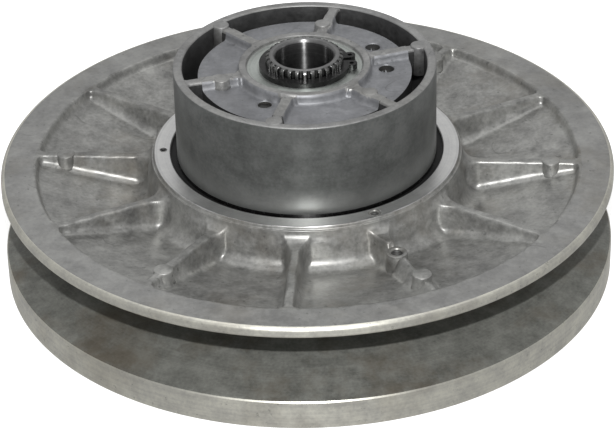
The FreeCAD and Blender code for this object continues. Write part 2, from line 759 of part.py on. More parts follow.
def make_spring_seats():
    make_ring("upper_spring_seat", "seat_inner_radius", "upper_seat_radius",
              "upper_seat_bottom", "disk_underside")
    washer = make_ring("lower_spring_washer", "seat_inner_radius", "lower_washer_radius",
                       "moving_floor_top", "lower_washer_top")
    drill(washer, "spring_end_hole", "washer_hole_radius", "lower_washer_top", "lower_washer_top",
          "spring_radius", "spring_azimuth")


def make_circlip():
    """External circlip: split ring with two eyed lugs beside the gap."""
    ring = make_ring("circlip_ring", "circlip_inner_radius", "circlip_radius",
                     "hub_ledge_height", "circlip_top")
    thickness = bound("circlip_top - hub_ledge_height")
    lugs = []
    eyes = []
    for side in (-1, 1):
        angle = f"{side} * Sizes.circlip_lug_angle"
        for kind, radius, group in (("lug", "circlip_lug_width / 2", lugs),
                                    ("eye", "circlip_lug_hole_radius", eyes)):
            piece = doc.addObject("Part::Cylinder", f"circlip_{kind}_{len(group) + 1}")
            piece.setExpression("Radius", f"Sizes.{radius}")
            piece.setExpression("Height", thickness)
            reach = "(Sizes.circlip_lug_radius - Sizes.circlip_lug_width / 2)"
            piece.setExpression("Placement.Base.x", f"{reach} * cos({angle})")
            piece.setExpression("Placement.Base.y", f"{reach} * sin({angle})")
            piece.setExpression("Placement.Base.z", "Sizes.hub_ledge_height")
            group.append(piece)
    joined = doc.addObject("Part::MultiFuse", "circlip_blank")
    joined.Shapes = [ring] + lugs
    gap = doc.addObject("Part::Box", "circlip_gap")
    gap.setExpression("Length", "Sizes.circlip_lug_radius * 2")
    gap.setExpression("Width", "2 * Sizes.circlip_gap_half_width")
    gap.setExpression("Height", thickness)
    gap.setExpression("Placement.Base.y", "-Sizes.circlip_gap_half_width")
    gap.setExpression("Placement.Base.z", "Sizes.hub_ledge_height")
    cut_away = doc.addObject("Part::MultiFuse", "circlip_cut_away")
    cut_away.Shapes = [gap] + eyes
    circlip = doc.addObject("Part::Cut", "circlip")
    circlip.Base = joined
    circlip.Tool = cut_away
    circlip.Placement = turned_placement(0.0, SIZES["circlip_azimuth"])
    doc.recompute()
    return circlip


make_fixed_sheave()
make_shaft()
make_rivets()
make_ring("bumper_ring", "bumper_inner_radius", "bumper_outer_radius", "bowl_floor_height", "bumper_top")
make_sliding_sheave()
make_bushings()
make_collar_fasteners()
make_rollers()
make_cam_cup()
make_spring()
make_spring_seats()
make_circlip()

NODES = [
    "fixed_sheave",
    "splined_shaft",
    "shaft_rivets",
    "bumper_ring",
    "cam_cup",
    "circlip",
    "torsion_spring",
    "upper_spring_seat",
    "lower_spring_washer",
    "sliding_sheave",
    "large_bushing",
    "small_bushing_upper",
    "small_bushing_lower",
    "collar_set_screw",
    "bushing_locating_pin",
]
for number in range(1, int(SIZES["roller_count"]) + 1):
    for name in ("roller_pin", "pin_clip", "roller", "roller_liner"):
        NODES.append(f"{name}_{number}")


def check_and_export():
    """Stop on any failed feature, then write one STEP file for each sub-part."""
    doc.recompute()
    for item in doc.Objects:
        if "Invalid" in item.State or "Error" in item.State:
            raise RuntimeError(f"{item.Label} failed: {item.State}")
    shapes = {}
    for label in NODES:
        shape = doc.getObjectsByLabel(label)[0].Shape
        if shape.isNull() or not shape.isValid():
            raise RuntimeError(f"{label} has no valid shape")
        shapes[label] = shape
    os.makedirs("parts", exist_ok=True)
    for label, shape in shapes.items():
        shape.exportStep(f"parts/{label}.step")
        print(f"{label}: {len(shape.Solids)} solid(s), {shape.Volume:.0f} cubic mm")


check_and_export()
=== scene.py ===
"""Looks of a driven CVT pulley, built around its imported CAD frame.

Lengths are millimetres until a mesh is made; the frame and every Blender object are in metres.
Rest pose: sheaves closed. The shaft runs along +Z; the camera looks along +Y and down.
"""
import math

import bmesh
import bpy
import numpy as np
from mathutils import Matrix, Vector


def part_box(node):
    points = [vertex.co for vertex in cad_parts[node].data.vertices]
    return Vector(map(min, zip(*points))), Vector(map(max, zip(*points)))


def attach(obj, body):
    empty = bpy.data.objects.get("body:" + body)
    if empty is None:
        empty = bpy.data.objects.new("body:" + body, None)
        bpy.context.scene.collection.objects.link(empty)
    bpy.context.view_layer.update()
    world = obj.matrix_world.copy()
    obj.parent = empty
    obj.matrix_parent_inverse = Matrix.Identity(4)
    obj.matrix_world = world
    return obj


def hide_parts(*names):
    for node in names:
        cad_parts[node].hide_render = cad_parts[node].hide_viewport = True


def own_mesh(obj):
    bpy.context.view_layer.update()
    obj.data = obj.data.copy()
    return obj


MM = 0.001

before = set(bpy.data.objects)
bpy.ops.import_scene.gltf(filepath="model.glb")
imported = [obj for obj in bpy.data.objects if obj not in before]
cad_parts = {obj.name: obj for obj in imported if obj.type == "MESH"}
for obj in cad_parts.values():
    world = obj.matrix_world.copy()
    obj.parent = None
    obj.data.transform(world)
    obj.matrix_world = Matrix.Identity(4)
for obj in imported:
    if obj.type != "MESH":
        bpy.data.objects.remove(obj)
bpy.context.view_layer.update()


def box_mm(node):
    """Lowest and highest corners of a CAD node, in millimetres."""
    low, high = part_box(node)
    return [value / MM for value in low], [value / MM for value in high]


# ---- sizes from the frame
SLIDING_LOW, SLIDING_HIGH = box_mm("sliding_sheave")
_, FIXED_HIGH = box_mm("fixed_sheave")
CUP_LOW, CUP_HIGH = box_mm("cam_cup")
_, SHAFT_HIGH = box_mm("splined_shaft")
CLIP_LOW, _ = box_mm("circlip")
WASHER_LOW, WASHER_HIGH = box_mm("lower_spring_washer")
SEAT_LOW, SEAT_HIGH = box_mm("upper_spring_seat")

RIM_RADIUS = FIXED_HIGH[0]
CUP_RADIUS = 56.4
RIB_COUNT = 12
RIB_AZIMUTH = math.radians(-4.5)

# sliding sheave, heights above the bench
RIM_TOP = 48.8
RIM_UNDERSIDE = 44.3
BAND_RADIUS = 118.4
FLOOR_OUTER = (117.8, 45.2)
FLOOR_INNER = (72.0, 35.8)
COLLAR_FACE = SLIDING_HIGH[2]
COLLAR_BORE = 59.3
COLLAR_FACE_RADIUS = 66.3
COLLAR_EDGE = (67.0, 52.9)
COLLAR_SLOPE = 4.5
COLLAR_FILLET = 8.1
RIB_TOP_HALF = 1.8
RIB_SLOPE = 6.0
RIB_FILLET = 4.0
HUB_RADIUS = 63.8
BELT_SLOPE = 0.2322
SLEEVE_RADIUS = 23.5
SLEEVE_TOP = 38.5
SLEEVE_BORE = 18.8
FLOOR_UNDERSIDE = SLIDING_LOW[2]
FLOOR_TOP = 14.0
PAD_RADIUS = 4.0
PAD_CIRCLE = 106.0
OPENER_CIRCLE = 84.0
OPENER_RIB = 10
SCREW_CIRCLE = 62.9
PIN_CIRCLE = 62.4
POST_X = (31.0, 36.0)
POST_HALF_WIDTH = 6.8
POST_TOP = 48.5

# fixed sheave
FIXED_RIM_TOP = 13.0
FIXED_LIP = (67.5, FIXED_HIGH[2])
BOWL_RADIUS = 65.5
BOWL_FLOOR = 8.0
BOWL_WALL = 70.0
CENTRE_RADIUS = 16.8
FLANGE_RADIUS = 31.0
FLANGE_TOP = 4.0
UNDERSIDE = 0.5
RIM_INNER_RADIUS = 124.35
WEB_INNER = (71.0, 20.5)
WEB_OUTER = (124.35, 9.0)
FIXED_EDGE = 0.5
BOWL_ROUND = 1.5
UNDERSIDE_STOPS = ((33.0, 6.0), (69.0, 0.5), (73.0, 0.45), (77.5, 2.2), (119.0, 0.6), (125.0, 0.6))

# cam cup
CUP_TOP = CUP_HIGH[2]
CUP_INNER = 52.5
CUP_BOTTOM = 45.5
DISK_TOP = 91.15
DISK_UNDERSIDE = SEAT_HIGH[2]
DRUM_RADIUS = 45.8
DRUM_INNER = 37.0
DRUM_BOTTOM = CUP_LOW[2]
HUB_LEDGE = CLIP_LOW[2]
RING_INNER = 25.05
RING_FOOT = 29.4
RING_TOP = 95.5
RING_EDGE = 0.3
CUP_HUB_RADIUS = 23.0
CUP_HUB_BOTTOM = 70.0
CUP_RIB_COUNT = 6
CUP_RIB_AZIMUTH = math.radians(15.0)
CUP_RIB_HALF = 2.2
MOAT_RIB_BOTTOM = 82.5
ANCHOR_HOLES = ((32.3, -122.0, 2.9), (35.1, 2.0, 3.3), (36.4, 35.0, 3.2))
ANCHOR_DEPTH = 5.0

# cam ramps under the cup's disk
RAMP_COUNT = 3
RAMP_RISE = 255.1 / 360.0
RAMP_START = 20.0
RAMP_END = 58.0
RAMP_OFFSET = 12.3
RAMP_ROOF = 82.0
ROLLER_HEIGHT = 42.0

# shaft
BORE_RADIUS = 12.5
SHAFT_RADIUS = 16.75
SPLINE_ROOT = 15.1
SPLINE_COUNT = 30
SPLINE_BOTTOM = 70.0
SHAFT_TOP = SHAFT_HIGH[2]
GROOVE_RADIUS = 15.0
SHAFT_FLANGE = 30.0
TOOTH_POINTS = 16
TIP_RADIUS = 15.35
TIP_HEIGHT = 1.7
TIP_STEPS = 8
DRIVE_COUNT = 24
DRIVE_DEPTH = 0.9
DRIVE_TOP = 28.0
BORE_EDGE = 1.1

# torsion spring
SPRING_RADIUS = 27.0
WIRE_RADIUS = 2.5
SPRING_TURNS = 5.0
SPRING_DEGREES = -122.0
COIL_STEPS = 40
WIRE_SEGMENTS = 14
TANG_CIRCLE = 32.3


# ---- mesh tools
SHARP_TURN = 38.0
BUTTON_SEGMENTS = 40


class Shape:
    """Collects closed surfaces, then makes one mesh object of them."""

    def __init__(self, name, materials):
        self.name = name
        self.materials = materials
        self.vertices = []
        self.faces = []
        self.face_materials = []
        self.sharp_pairs = []
        self.count = 0

    def add(self, points, faces, face_materials, sharp_pairs=()):
        self.vertices.append(np.asarray(points, float))
        self.faces.extend([tuple(index + self.count for index in face) for face in faces])
        self.face_materials.extend(face_materials)
        self.sharp_pairs.extend([(a + self.count, b + self.count) for a, b in sharp_pairs])
        self.count += len(points)

    def rings(self, rings, materials, sharp=()):
        """Closed tube of rings, each an array of points; `materials` names each band after its ring."""
        size = len(rings[0])
        total = len(rings)
        faces = []
        face_materials = []
        pairs = []
        for index in range(total):
            faces.extend(quads(index * size, (index + 1) % total * size, size))
            face_materials.extend([materials[index]] * size)
        for index in sharp:
            pairs.extend((index * size + step, index * size + (step + 1) % size) for step in range(size))
        self.add(np.concatenate(rings), faces, face_materials, pairs)

    def turned(self, centre, outline, material, segments):
        """Closed outline of (radius, height) pairs turned about an upright axis at `centre`."""
        self.rings(circles(centre, outline, segments), [material] * len(outline), outline_corners(outline))

    def repaint(self, centre, reach, top, material, bottom=0.0):
        """Give faces inside an upright cylinder, between `bottom` and `top`, another material."""
        points = np.concatenate(self.vertices)
        inside = np.hypot(points[:, 0] - centre[0], points[:, 1] - centre[1]) < reach
        inside &= (points[:, 2] < top) & (points[:, 2] > bottom)
        for number, face in enumerate(self.faces):
            if inside[face[0]] and inside[face[2]]:
                self.face_materials[number] = material

    def build(self, body, slot, *replaced):
        mesh = bpy.data.meshes.new(self.name)
        points = np.concatenate(self.vertices) * MM
        mesh.from_pydata(points.tolist(), [], self.faces)
        for material in self.materials:
            mesh.materials.append(material)
        mesh.polygons.foreach_set("material_index", np.array(self.face_materials, np.int32))
        mesh.polygons.foreach_set("use_smooth", np.ones(len(self.faces), bool))
        if self.sharp_pairs:
            ends = np.empty(len(mesh.edges) * 2, np.int32)
            mesh.edges.foreach_get("vertices", ends)
            ends = np.sort(ends.reshape(-1, 2), axis=1).astype(np.int64)
            wanted = np.sort(np.array(self.sharp_pairs, np.int64), axis=1)
            key = ends[:, 0] * self.count + ends[:, 1]
            sharp_key = wanted[:, 0] * self.count + wanted[:, 1]
            mesh.edges.foreach_set("use_edge_sharp", np.isin(key, sharp_key))
        mesh.update()
        recalculate_normals(mesh)
        piece = add_object(self.name, mesh)
        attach(piece, body)
        if replaced:
            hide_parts(*replaced)
        return piece


class Profile:
    """Rings of one closed turned profile, collected in order."""

    def __init__(self, angles_of):
        self.angles_of = angles_of
        self.rings = []
        self.materials = []
        self.sharp = []

    def ring(self, radius, height, material, crease=False):
        """Add one ring. The height may be a function of the radius and the angles."""
        if crease:
            self.sharp.append(len(self.rings))
        angles = self.angles_of(radius)
        if callable(height):
            height = height(radius, angles)
        count = len(angles)
        self.rings.append(polar(np.full(count, radius, float), angles, np.full(count, height, float)))
        self.materials.append(material)

    def corners(self, material, *pairs):
        """Add creased rings from (radius, height) pairs."""
        for radius, height in pairs:
            self.ring(radius, height, material, True)

    def add_to(self, shape):
        shape.rings(self.rings, self.materials, self.sharp)


def add_object(name, data):
    made = bpy.data.objects.new(name, data)
    bpy.context.scene.collection.objects.link(made)
    return made


def recalculate_normals(mesh):
    work = bmesh.new()
    work.from_mesh(mesh)
    bmesh.ops.recalc_face_normals(work, faces=work.faces)
    work.to_mesh(mesh)
    work.free()


def quads(first, second, size):
    """Faces between two rings of `size` points that start at indexes `first` and `second`."""
    return [(first + step, first + (step + 1) % size, second + (step + 1) % size, second + step)
            for step in range(size)]


def tube(total, size):
    """Faces of an open tube of `total` rings."""
    return [face for index in range(total - 1) for face in quads(index * size, (index + 1) * size, size)]


def circles(centre, outline, segments):
    """Level rings round an upright axis at `centre`, one for each (radius, height) pair."""
    angles = np.linspace(0, 2 * math.pi, segments, endpoint=False)
    return [polar(radius, angles, np.full(segments, float(height))) + (*centre, 0.0)
            for radius, height in outline]


def outline_corners(outline):
    """Indexes of the outline's points where it turns by more than SHARP_TURN degrees."""
    found = []
    total = len(outline)
    for index in range(total):
        before = np.subtract(outline[index], outline[index - 1])
        after = np.subtract(outline[(index + 1) % total], outline[index])
        turn = math.degrees(abs(math.atan2(before[0] * after[1] - before[1] * after[0], before @ after)))
        if turn > SHARP_TURN:
            found.append(index)
    return found


def sector_angles(radius, count, first, lines, spread, reference):
    """Angles of one ring. Near each rib they follow lines parallel to it; between ribs they are even."""
    pitch = 2 * math.pi / count
    reach = lines * min(1.0, radius / reference) / radius
    near = np.arcsin(np.concatenate([-reach[:0:-1], reach]))
    gap = np.linspace(near[-1], pitch + near[0], spread + 2)[1:-1]
    one = np.concatenate([near, gap])
    return (first + np.arange(count)[:, None] * pitch + one[None, :]).ravel()


def rib_place(radius, angle, count, first):
    """Index of the nearest rib, the distance along it and the distance across it."""
    pitch = 2 * math.pi / count
    number = np.round((angle - first) / pitch)
    beside = angle - first - number * pitch
    return number.astype(int) % count, radius * np.cos(beside), radius * np.sin(beside)


def wall(distance, fillet, slope):
    """Height over the floor at a plan distance from a wall's foot; inside the wall it is negative."""
    curve = np.clip(fillet - distance, 0, fillet)
    rounded = fillet - np.sqrt(np.maximum(fillet ** 2 - curve ** 2, 0))
    return np.where(distance < 0, fillet - slope * distance, rounded)


def soft_min(first, second, reach):
    gap = np.clip(reach - np.abs(first - second), 0, None) / reach
    return np.minimum(first, second) - gap * gap * reach / 4


def soft_join(*heights, power=6.0):
    """Union of heights over a floor, with a fillet where two of them meet."""
    total = sum(np.maximum(height, 0) ** power for height in heights)
    return total ** (1 / power)


def ripple(x, y, length, seed):
    """Smooth unevenness between about -1 and 1, with features of the given length."""
    draw = np.random.default_rng(seed)
    total = np.zeros_like(x)
    for _ in range(7):
        heading = draw.uniform(0, 2 * math.pi)
        stretch = length * draw.uniform(0.6, 1.7)
        phase = draw.uniform(0, 2 * math.pi)
        total += np.sin((x * math.cos(heading) + y * math.sin(heading)) * 2 * math.pi / stretch + phase)
    return total / 3.5


def polar(radius, angle, height):
    return np.stack([radius * np.cos(angle), radius * np.sin(angle), height], axis=1)


def spaced(*stops):
    """Radii from stops given as (radius, step to the next stop)."""
    found = []
    for (start, step), (end, _) in zip(stops[:-1], stops[1:]):
        count = max(1, round(abs(end - start) / step))
        found.extend(np.linspace(start, end, count, endpoint=False))
    found.append(stops[-1][0])
    return found


def add_capped(shape, rings, material):
    """Tube of rings with a flat cap at each end."""
    size = len(rings[0])
    last = (len(rings) - 1) * size
    faces = tube(len(rings), size)
    faces.append(tuple(range(size)))
    faces.append(tuple(last + step for step in range(size)))
    rims = [(start + step, start + (step + 1) % size) for start in (0, last) for step in range(size)]
    shape.add(np.concatenate(rings), faces, [material] * len(faces), rims)


def add_button(shape, centre, outline, material):
    """Round solid button: an outline of (radius, height) pairs that starts and ends on its own axis."""
    size = BUTTON_SEGMENTS
    rings = circles(centre, outline[1:-1], size)
    ends = np.array([[*centre, outline[0][1]], [*centre, outline[-1][1]]])
    foot = len(rings) * size
    last = foot - size
    faces = tube(len(rings), size)
    for step in range(size):
        beside = (step + 1) % size
        faces.append((foot, beside, step))
        faces.append((foot + 1, last + step, last + beside))
    shape.add(np.concatenate(rings + [ends]), faces, [material] * len(faces))


def threaded_wall(radius, depth, bottom, top, pitch):
    """Inner wall of a tapped hole as (radius, height) pairs, from the bottom up."""
    found = []
    turns = int((top - bottom) / pitch)
    for turn in range(turns):
        found.append((radius, bottom + turn * pitch))
        found.append((radius + depth, bottom + (turn + 0.5) * pitch))
    found.append((radius, top))
    return found


def around(circle, degrees):
    return circle * math.cos(math.radians(degrees)), circle * math.sin(math.radians(degrees))


def swung(along, across, azimuth):
    """Plan position of a point given along and across a direction."""
    return (along * math.cos(azimuth) - across * math.sin(azimuth),
            along * math.sin(azimuth) + across * math.cos(azimuth))


def corner_flare(distance, radius):
    """Extra half width of a rib close to the wall that it runs into."""
    curve = np.clip(radius - distance, 0, radius)
    return radius - np.sqrt(np.maximum(radius ** 2 - curve ** 2, 0))


def bell(value, centre, reach):
    return np.exp(-((value - centre) / reach) ** 2)


def dig(height, x, y, centre, radius, depth):
    return np.where(np.hypot(x - centre[0], y - centre[1]) < radius, np.minimum(height, depth), height)


# ---- sliding sheave
# Ring lines beside a rib, across it; then ring radii as (radius, step to the next stop).
SHEAVE_LINES = np.array([0, 0.8, 1.4, 1.75, 2.0, 2.25, 2.55, 2.9, 3.3, 3.7, 4.1, 4.6, 5.1, 5.7, 6.4, 7.2,
                         8.2, 9.5])
COLLAR_STOPS = ((59.95, 0.45), (65.6, 0.16), (67.1, 0.1), (67.4, 0.05), (67.7, 0.1))
WEB_STOPS = ((67.8, 0.2), (69.0, 0.4), (79.0, 0.8), (99.0, 1.2), (114.4, 0.8), (115.5, 0.35), (118.8, 0.4))
BAND_STOPS = ((119.4, 2.4), (131.3, 2.4))
BELT_STEPS = 14
SHEAVE_SPREAD = 10
RIM_ROUND = 1.7
RIM_ROUND_STEPS = 6
BRIGHT_RADIUS = 66.25
COLLAR_BORE_EDGE = 0.35
FLOOR_ROUND = 1.2
HUB_EDGE = 0.6
PAD_FOOT = 42.5
PAD_PROUD = 0.12
BAND_SLOPE = 2.2
BAND_FILLET = 1.6
RIB_FLARE = 3.6
RIB_FLARE_FROM = 68.2
RIB_FLARE_LENGTH = 7.5
COLLAR_FLARE_FROM = 67.5
COLLAR_FLARE = 4.4
SHEAVE_REFERENCE = 60.0
OPENER_AT = around(OPENER_CIRCLE, -64.5)
SCREW_AT = around(SCREW_CIRCLE, -64.0)
PIN_AT = around(PIN_CIRCLE, 180.0)


def sheave_angles(radius):
    return sector_angles(radius, RIB_COUNT, RIB_AZIMUTH, SHEAVE_LINES, SHEAVE_SPREAD, SHEAVE_REFERENCE)


def collar_height(radius, angle):
    """Height of the collar's outer wall and of its machined face, above the bench."""
    # The machined face breaks out a little at two places, where the wall behind it is proud.
    notch = bell(angle, math.radians(-155), 0.03) + bell(angle, math.radians(-36), 0.035)
    edge_radius = COLLAR_FACE_RADIUS + 0.7 * notch + 0.12 * np.sin(9 * angle) + 0.08 * np.sin(23 * angle + 1)
    lip = COLLAR_EDGE[0] - 0.15
    drop = (COLLAR_FACE - COLLAR_EDGE[1]) / (lip - edge_radius + 0.01)
    shoulder = COLLAR_FACE - np.maximum(radius - edge_radius, 0) * np.maximum(drop, 2.0)
    side = COLLAR_EDGE[1] - np.maximum(radius - COLLAR_EDGE[0] - 0.5, 0) * COLLAR_SLOPE
    return np.minimum(COLLAR_FACE, np.maximum(shoulder, side))


def sliding_top(radius, angle):
    """Cast top of the sliding sheave: recessed web, ribs, collar wall and outer band."""
    number, along, across = rib_place(radius, angle, RIB_COUNT, RIB_AZIMUTH)
    x = radius * np.cos(angle)
    y = radius * np.sin(angle)
    rise = (FLOOR_OUTER[1] - FLOOR_INNER[1]) / (FLOOR_OUTER[0] - FLOOR_INNER[0])
    floor = FLOOR_INNER[1] + (radius - FLOOR_INNER[0]) * rise
    floor = floor + 0.16 * ripple(x, y, 34, 3) + 0.06 * ripple(x, y, 11, 4)
    depth = RIM_TOP - floor
    fillet = np.clip(0.62 * depth, 0.4, RIB_FILLET)
    web = (number == OPENER_RIB) * (0.5 + 0.5 * np.tanh((along - 80) / 2.0))
    uneven = 0.18 * ripple(x, y, 9, 8)
    foot = RIB_TOP_HALF + np.maximum(depth - fillet, 0) / RIB_SLOPE
    taper = np.clip(1 - (along - RIB_FLARE_FROM) / RIB_FLARE_LENGTH, 0, 1)
    foot = foot + RIB_FLARE * taper ** 1.7 + corner_flare(FLOOR_OUTER[0] - along, 2.5) + uneven
    rise_to_collar = corner_flare(radius - COLLAR_FLARE_FROM, COLLAR_FLARE)
    rib_top = depth - 0.12 - 0.1 * ripple(x, y, 8, 12) + rise_to_collar
    rib = soft_min(wall(np.abs(across) - foot, fillet, RIB_SLOPE), rib_top, 2.0)
    ridge_width = 2.9 + 0.7 * ripple(x, y, 12, 14)
    ridge = (depth - 1.4 - 0.9 * ripple(x, y, 9, 15)) * np.exp(-(across / ridge_width) ** 2)
    rib = rib * (1 - web) + np.maximum(ridge, 0) * web
    collar_top = collar_height(radius, angle)
    collar_foot = COLLAR_EDGE[0] + 0.5 + (COLLAR_EDGE[1] - floor - COLLAR_FILLET) / COLLAR_SLOPE
    collar = np.where(radius < collar_foot, collar_top - floor,
                      wall(np.maximum(radius - collar_foot, 0), COLLAR_FILLET, COLLAR_SLOPE))
    band = soft_min(wall(BAND_RADIUS - 0.9 - radius, BAND_FILLET, BAND_SLOPE), depth, 1.2)
    pillar_gap = np.hypot(x - SCREW_AT[0], y - SCREW_AT[1]) - 4.0
    pillar = np.minimum(wall(pillar_gap, 2.5, 7.0), COLLAR_EDGE[1] - floor)
    height = floor + soft_join(rib, collar, band, pillar)
    height = np.minimum(height, np.maximum(RIM_TOP + rise_to_collar, collar_top))
    height = np.where(radius > BAND_RADIUS + 0.2, RIM_TOP, height)
    height = np.where(radius < COLLAR_FACE_RADIUS - 0.6, COLLAR_FACE, height)
    height = dig(height, x, y, OPENER_AT, 5.1, 46.0)
    height = dig(height, x, y, OPENER_AT, 3.4, 37.0)
    height = dig(height, x, y, SCREW_AT, 2.4, 45.8)
    return dig(height, x, y, PIN_AT, 1.2, 46.9)


def belt_outline(outer, outer_height, inner, inner_height):
    """Straight belt face as (radius, height) pairs, from the rim inwards."""
    return [(outer + (inner - outer) * step / BELT_STEPS,
             outer_height + (inner_height - outer_height) * step / BELT_STEPS)
            for step in range(BELT_STEPS + 1)]


def make_sliding_sheave(cast, band, bright, rim, belt, dark):
    shape = Shape("sliding_sheave_casting", [cast, band, bright, rim, belt, dark])
    CAST, BAND, BRIGHT, RIM, BELT, SHADED = range(6)
    profile = Profile(sheave_angles)
    ring = profile.ring
    # SHADED faces carry painted shade: the collar bore, the hollow underside, the sleeve and the roller posts
    # are made near black.
    ring(COLLAR_BORE, FLOOR_TOP + FLOOR_ROUND, SHADED)
    ring(COLLAR_BORE, COLLAR_FACE - COLLAR_BORE_EDGE, BRIGHT, True)
    ring(COLLAR_BORE + COLLAR_BORE_EDGE, COLLAR_FACE, BRIGHT, True)
    for radius in spaced(*COLLAR_STOPS):
        ring(radius, sliding_top, BRIGHT if radius < BRIGHT_RADIUS else CAST)
    for radius in spaced(*WEB_STOPS):
        ring(radius, sliding_top, CAST)
    for radius in spaced(*BAND_STOPS):
        ring(radius, sliding_top, BAND)
    for step in range(RIM_ROUND_STEPS + 1):
        turn = math.radians(90 / RIM_ROUND_STEPS * step)
        ring(RIM_RADIUS - RIM_ROUND * (1 - math.sin(turn)), RIM_TOP - RIM_ROUND * (1 - math.cos(turn)), RIM)
    ring(RIM_RADIUS, RIM_UNDERSIDE + 0.7, RIM, True)
    for radius, height in belt_outline(RIM_RADIUS - 0.6, RIM_UNDERSIDE - 0.14, HUB_RADIUS + 1.4, 28.5):
        ring(radius, height, BELT, radius > RIM_RADIUS - 1)
    ring(HUB_RADIUS, 27.0, BELT)
    profile.corners(SHADED, (HUB_RADIUS, FLOOR_UNDERSIDE + HUB_EDGE), (HUB_RADIUS - HUB_EDGE, FLOOR_UNDERSIDE),
                    (SLEEVE_BORE, FLOOR_UNDERSIDE), (SLEEVE_BORE, SLEEVE_TOP), (SLEEVE_RADIUS, SLEEVE_TOP))
    ring(SLEEVE_RADIUS, FLOOR_TOP + FLOOR_ROUND, SHADED)
    ring(SLEEVE_RADIUS + FLOOR_ROUND, FLOOR_TOP, SHADED)
    ring(COLLAR_BORE - FLOOR_ROUND, FLOOR_TOP, SHADED)
    profile.add_to(shape)

    top = RIM_TOP + PAD_PROUD
    for number in range(0, RIB_COUNT, 2):
        degrees = math.degrees(RIB_AZIMUTH) + number * 30
        add_button(shape, around(PAD_CIRCLE, degrees), [
            (0, PAD_FOOT), (PAD_RADIUS + 1.1, PAD_FOOT), (PAD_RADIUS + 0.35, PAD_FOOT + 1.0),
            (PAD_RADIUS + 0.15, top - 1.5), (PAD_RADIUS, top - 0.25), (PAD_RADIUS - 0.08, top - 0.08),
            (PAD_RADIUS - 0.3, top), (0, top)], CAST)
    boss = threaded_wall(2.45, 0.3, 36.6, 46.4, 0.8)
    boss += [(2.7, 46.9), (2.95, 47.1), (4.0, 47.1), (4.4, 46.9), (4.6, 46.4), (4.7, 44.0), (4.9, 36.6)]
    shape.turned(OPENER_AT, boss, CAST, 40)
    eye_top = COLLAR_FACE + 0.03
    eye = threaded_wall(1.7, 0.22, 45.6, 53.4, 0.5)
    eye += [(1.75, 53.9), (2.1, eye_top), (2.8, eye_top), (2.8, 45.6)]
    shape.turned(SCREW_AT, eye, CAST, 32)
    shape.turned(PIN_AT, [(0.9, 46.9), (0.9, COLLAR_FACE - 0.2), (1.05, COLLAR_FACE + 0.02),
                          (1.5, COLLAR_FACE + 0.02), (1.5, 46.9)], SHADED, 24)
    # Painted shade inside the opener hole, the set-screw hole and the pin hole.
    shape.repaint(OPENER_AT, 2.8, 46.2, SHADED)
    shape.repaint(SCREW_AT, 2.1, 53.2, SHADED)
    shape.repaint(PIN_AT, 1.0, COLLAR_FACE - 0.3, SHADED)
    for number in range(RAMP_COUNT):
        add_post(shape, math.radians(math.degrees(RIB_AZIMUTH) + number * 120), SHADED)
    shape.build("sliding_half", "cast_aluminium", "sliding_sheave")


def add_post(shape, azimuth, material):
    """Roller post standing on the inner floor, with rounded upright edges."""
    near, far = POST_X
    half = POST_HALF_WIDTH
    bevel = 1.0
    corners = [(near + bevel, -half), (far - bevel, -half), (far, -half + bevel), (far, half - bevel),
               (far - bevel, half), (near + bevel, half), (near, half - bevel), (near, -half + bevel)]
    rings = []
    for height, shrink in ((FLOOR_TOP - 1, 0), (POST_TOP - 1.0, 0), (POST_TOP, 0.8)):
        ring = []
        for x, y in corners:
            x = x + (shrink if x < (near + far) / 2 else -shrink)
            y = y - math.copysign(shrink, y)
            ring.append((*swung(x, y, azimuth), height))
        rings.append(np.array(ring))
    add_capped(shape, rings, material)


# ---- fixed sheave
def fixed_underside(radius, angle):
    """Underside of the fixed sheave: web, ribs, bowl wall and rim wall, all reaching down."""
    _, along, across = rib_place(radius, angle, RIB_COUNT, 0.0)
    fall = (WEB_OUTER[1] - WEB_INNER[1]) / (WEB_OUTER[0] - WEB_INNER[0])
    web = WEB_INNER[1] + (radius - WEB_INNER[0]) * fall
    x = radius * np.cos(angle)
    y = radius * np.sin(angle)
    web = web + 0.1 * ripple(x, y, 34, 5)
    edge = UNDERSIDE + (radius - BOWL_WALL) / (RIM_INNER_RADIUS - BOWL_WALL) * 2.0
    depth = web - edge
    fillet = np.clip(0.5 * depth, 0.5, 3.5)
    foot = 2.0 + np.maximum(depth - fillet, 0) / 12 + corner_flare(along - 71.5, 4.0)
    foot = foot + corner_flare(RIM_INNER_RADIUS - 1 - along, 3.0)
    rib = soft_min(wall(np.abs(across) - foot, fillet, 12.0), depth, 0.9)
    bowl = np.minimum(wall(radius - BOWL_WALL - 1.6, 3.5, 11.0), web - UNDERSIDE)
    rim = np.minimum(wall(RIM_INNER_RADIUS - 0.6 - radius, 3.0, 10.0), web)
    height = web - soft_join(rib, bowl, rim)
    height = np.where(radius > RIM_INNER_RADIUS + 0.1, 0.0, np.maximum(height, 0.0))
    return np.where(radius < BOWL_WALL, UNDERSIDE, height)


def fixed_angles(radius):
    return sector_angles(radius, RIB_COUNT, 0.0, SHEAVE_LINES, SHEAVE_SPREAD, SHEAVE_REFERENCE)


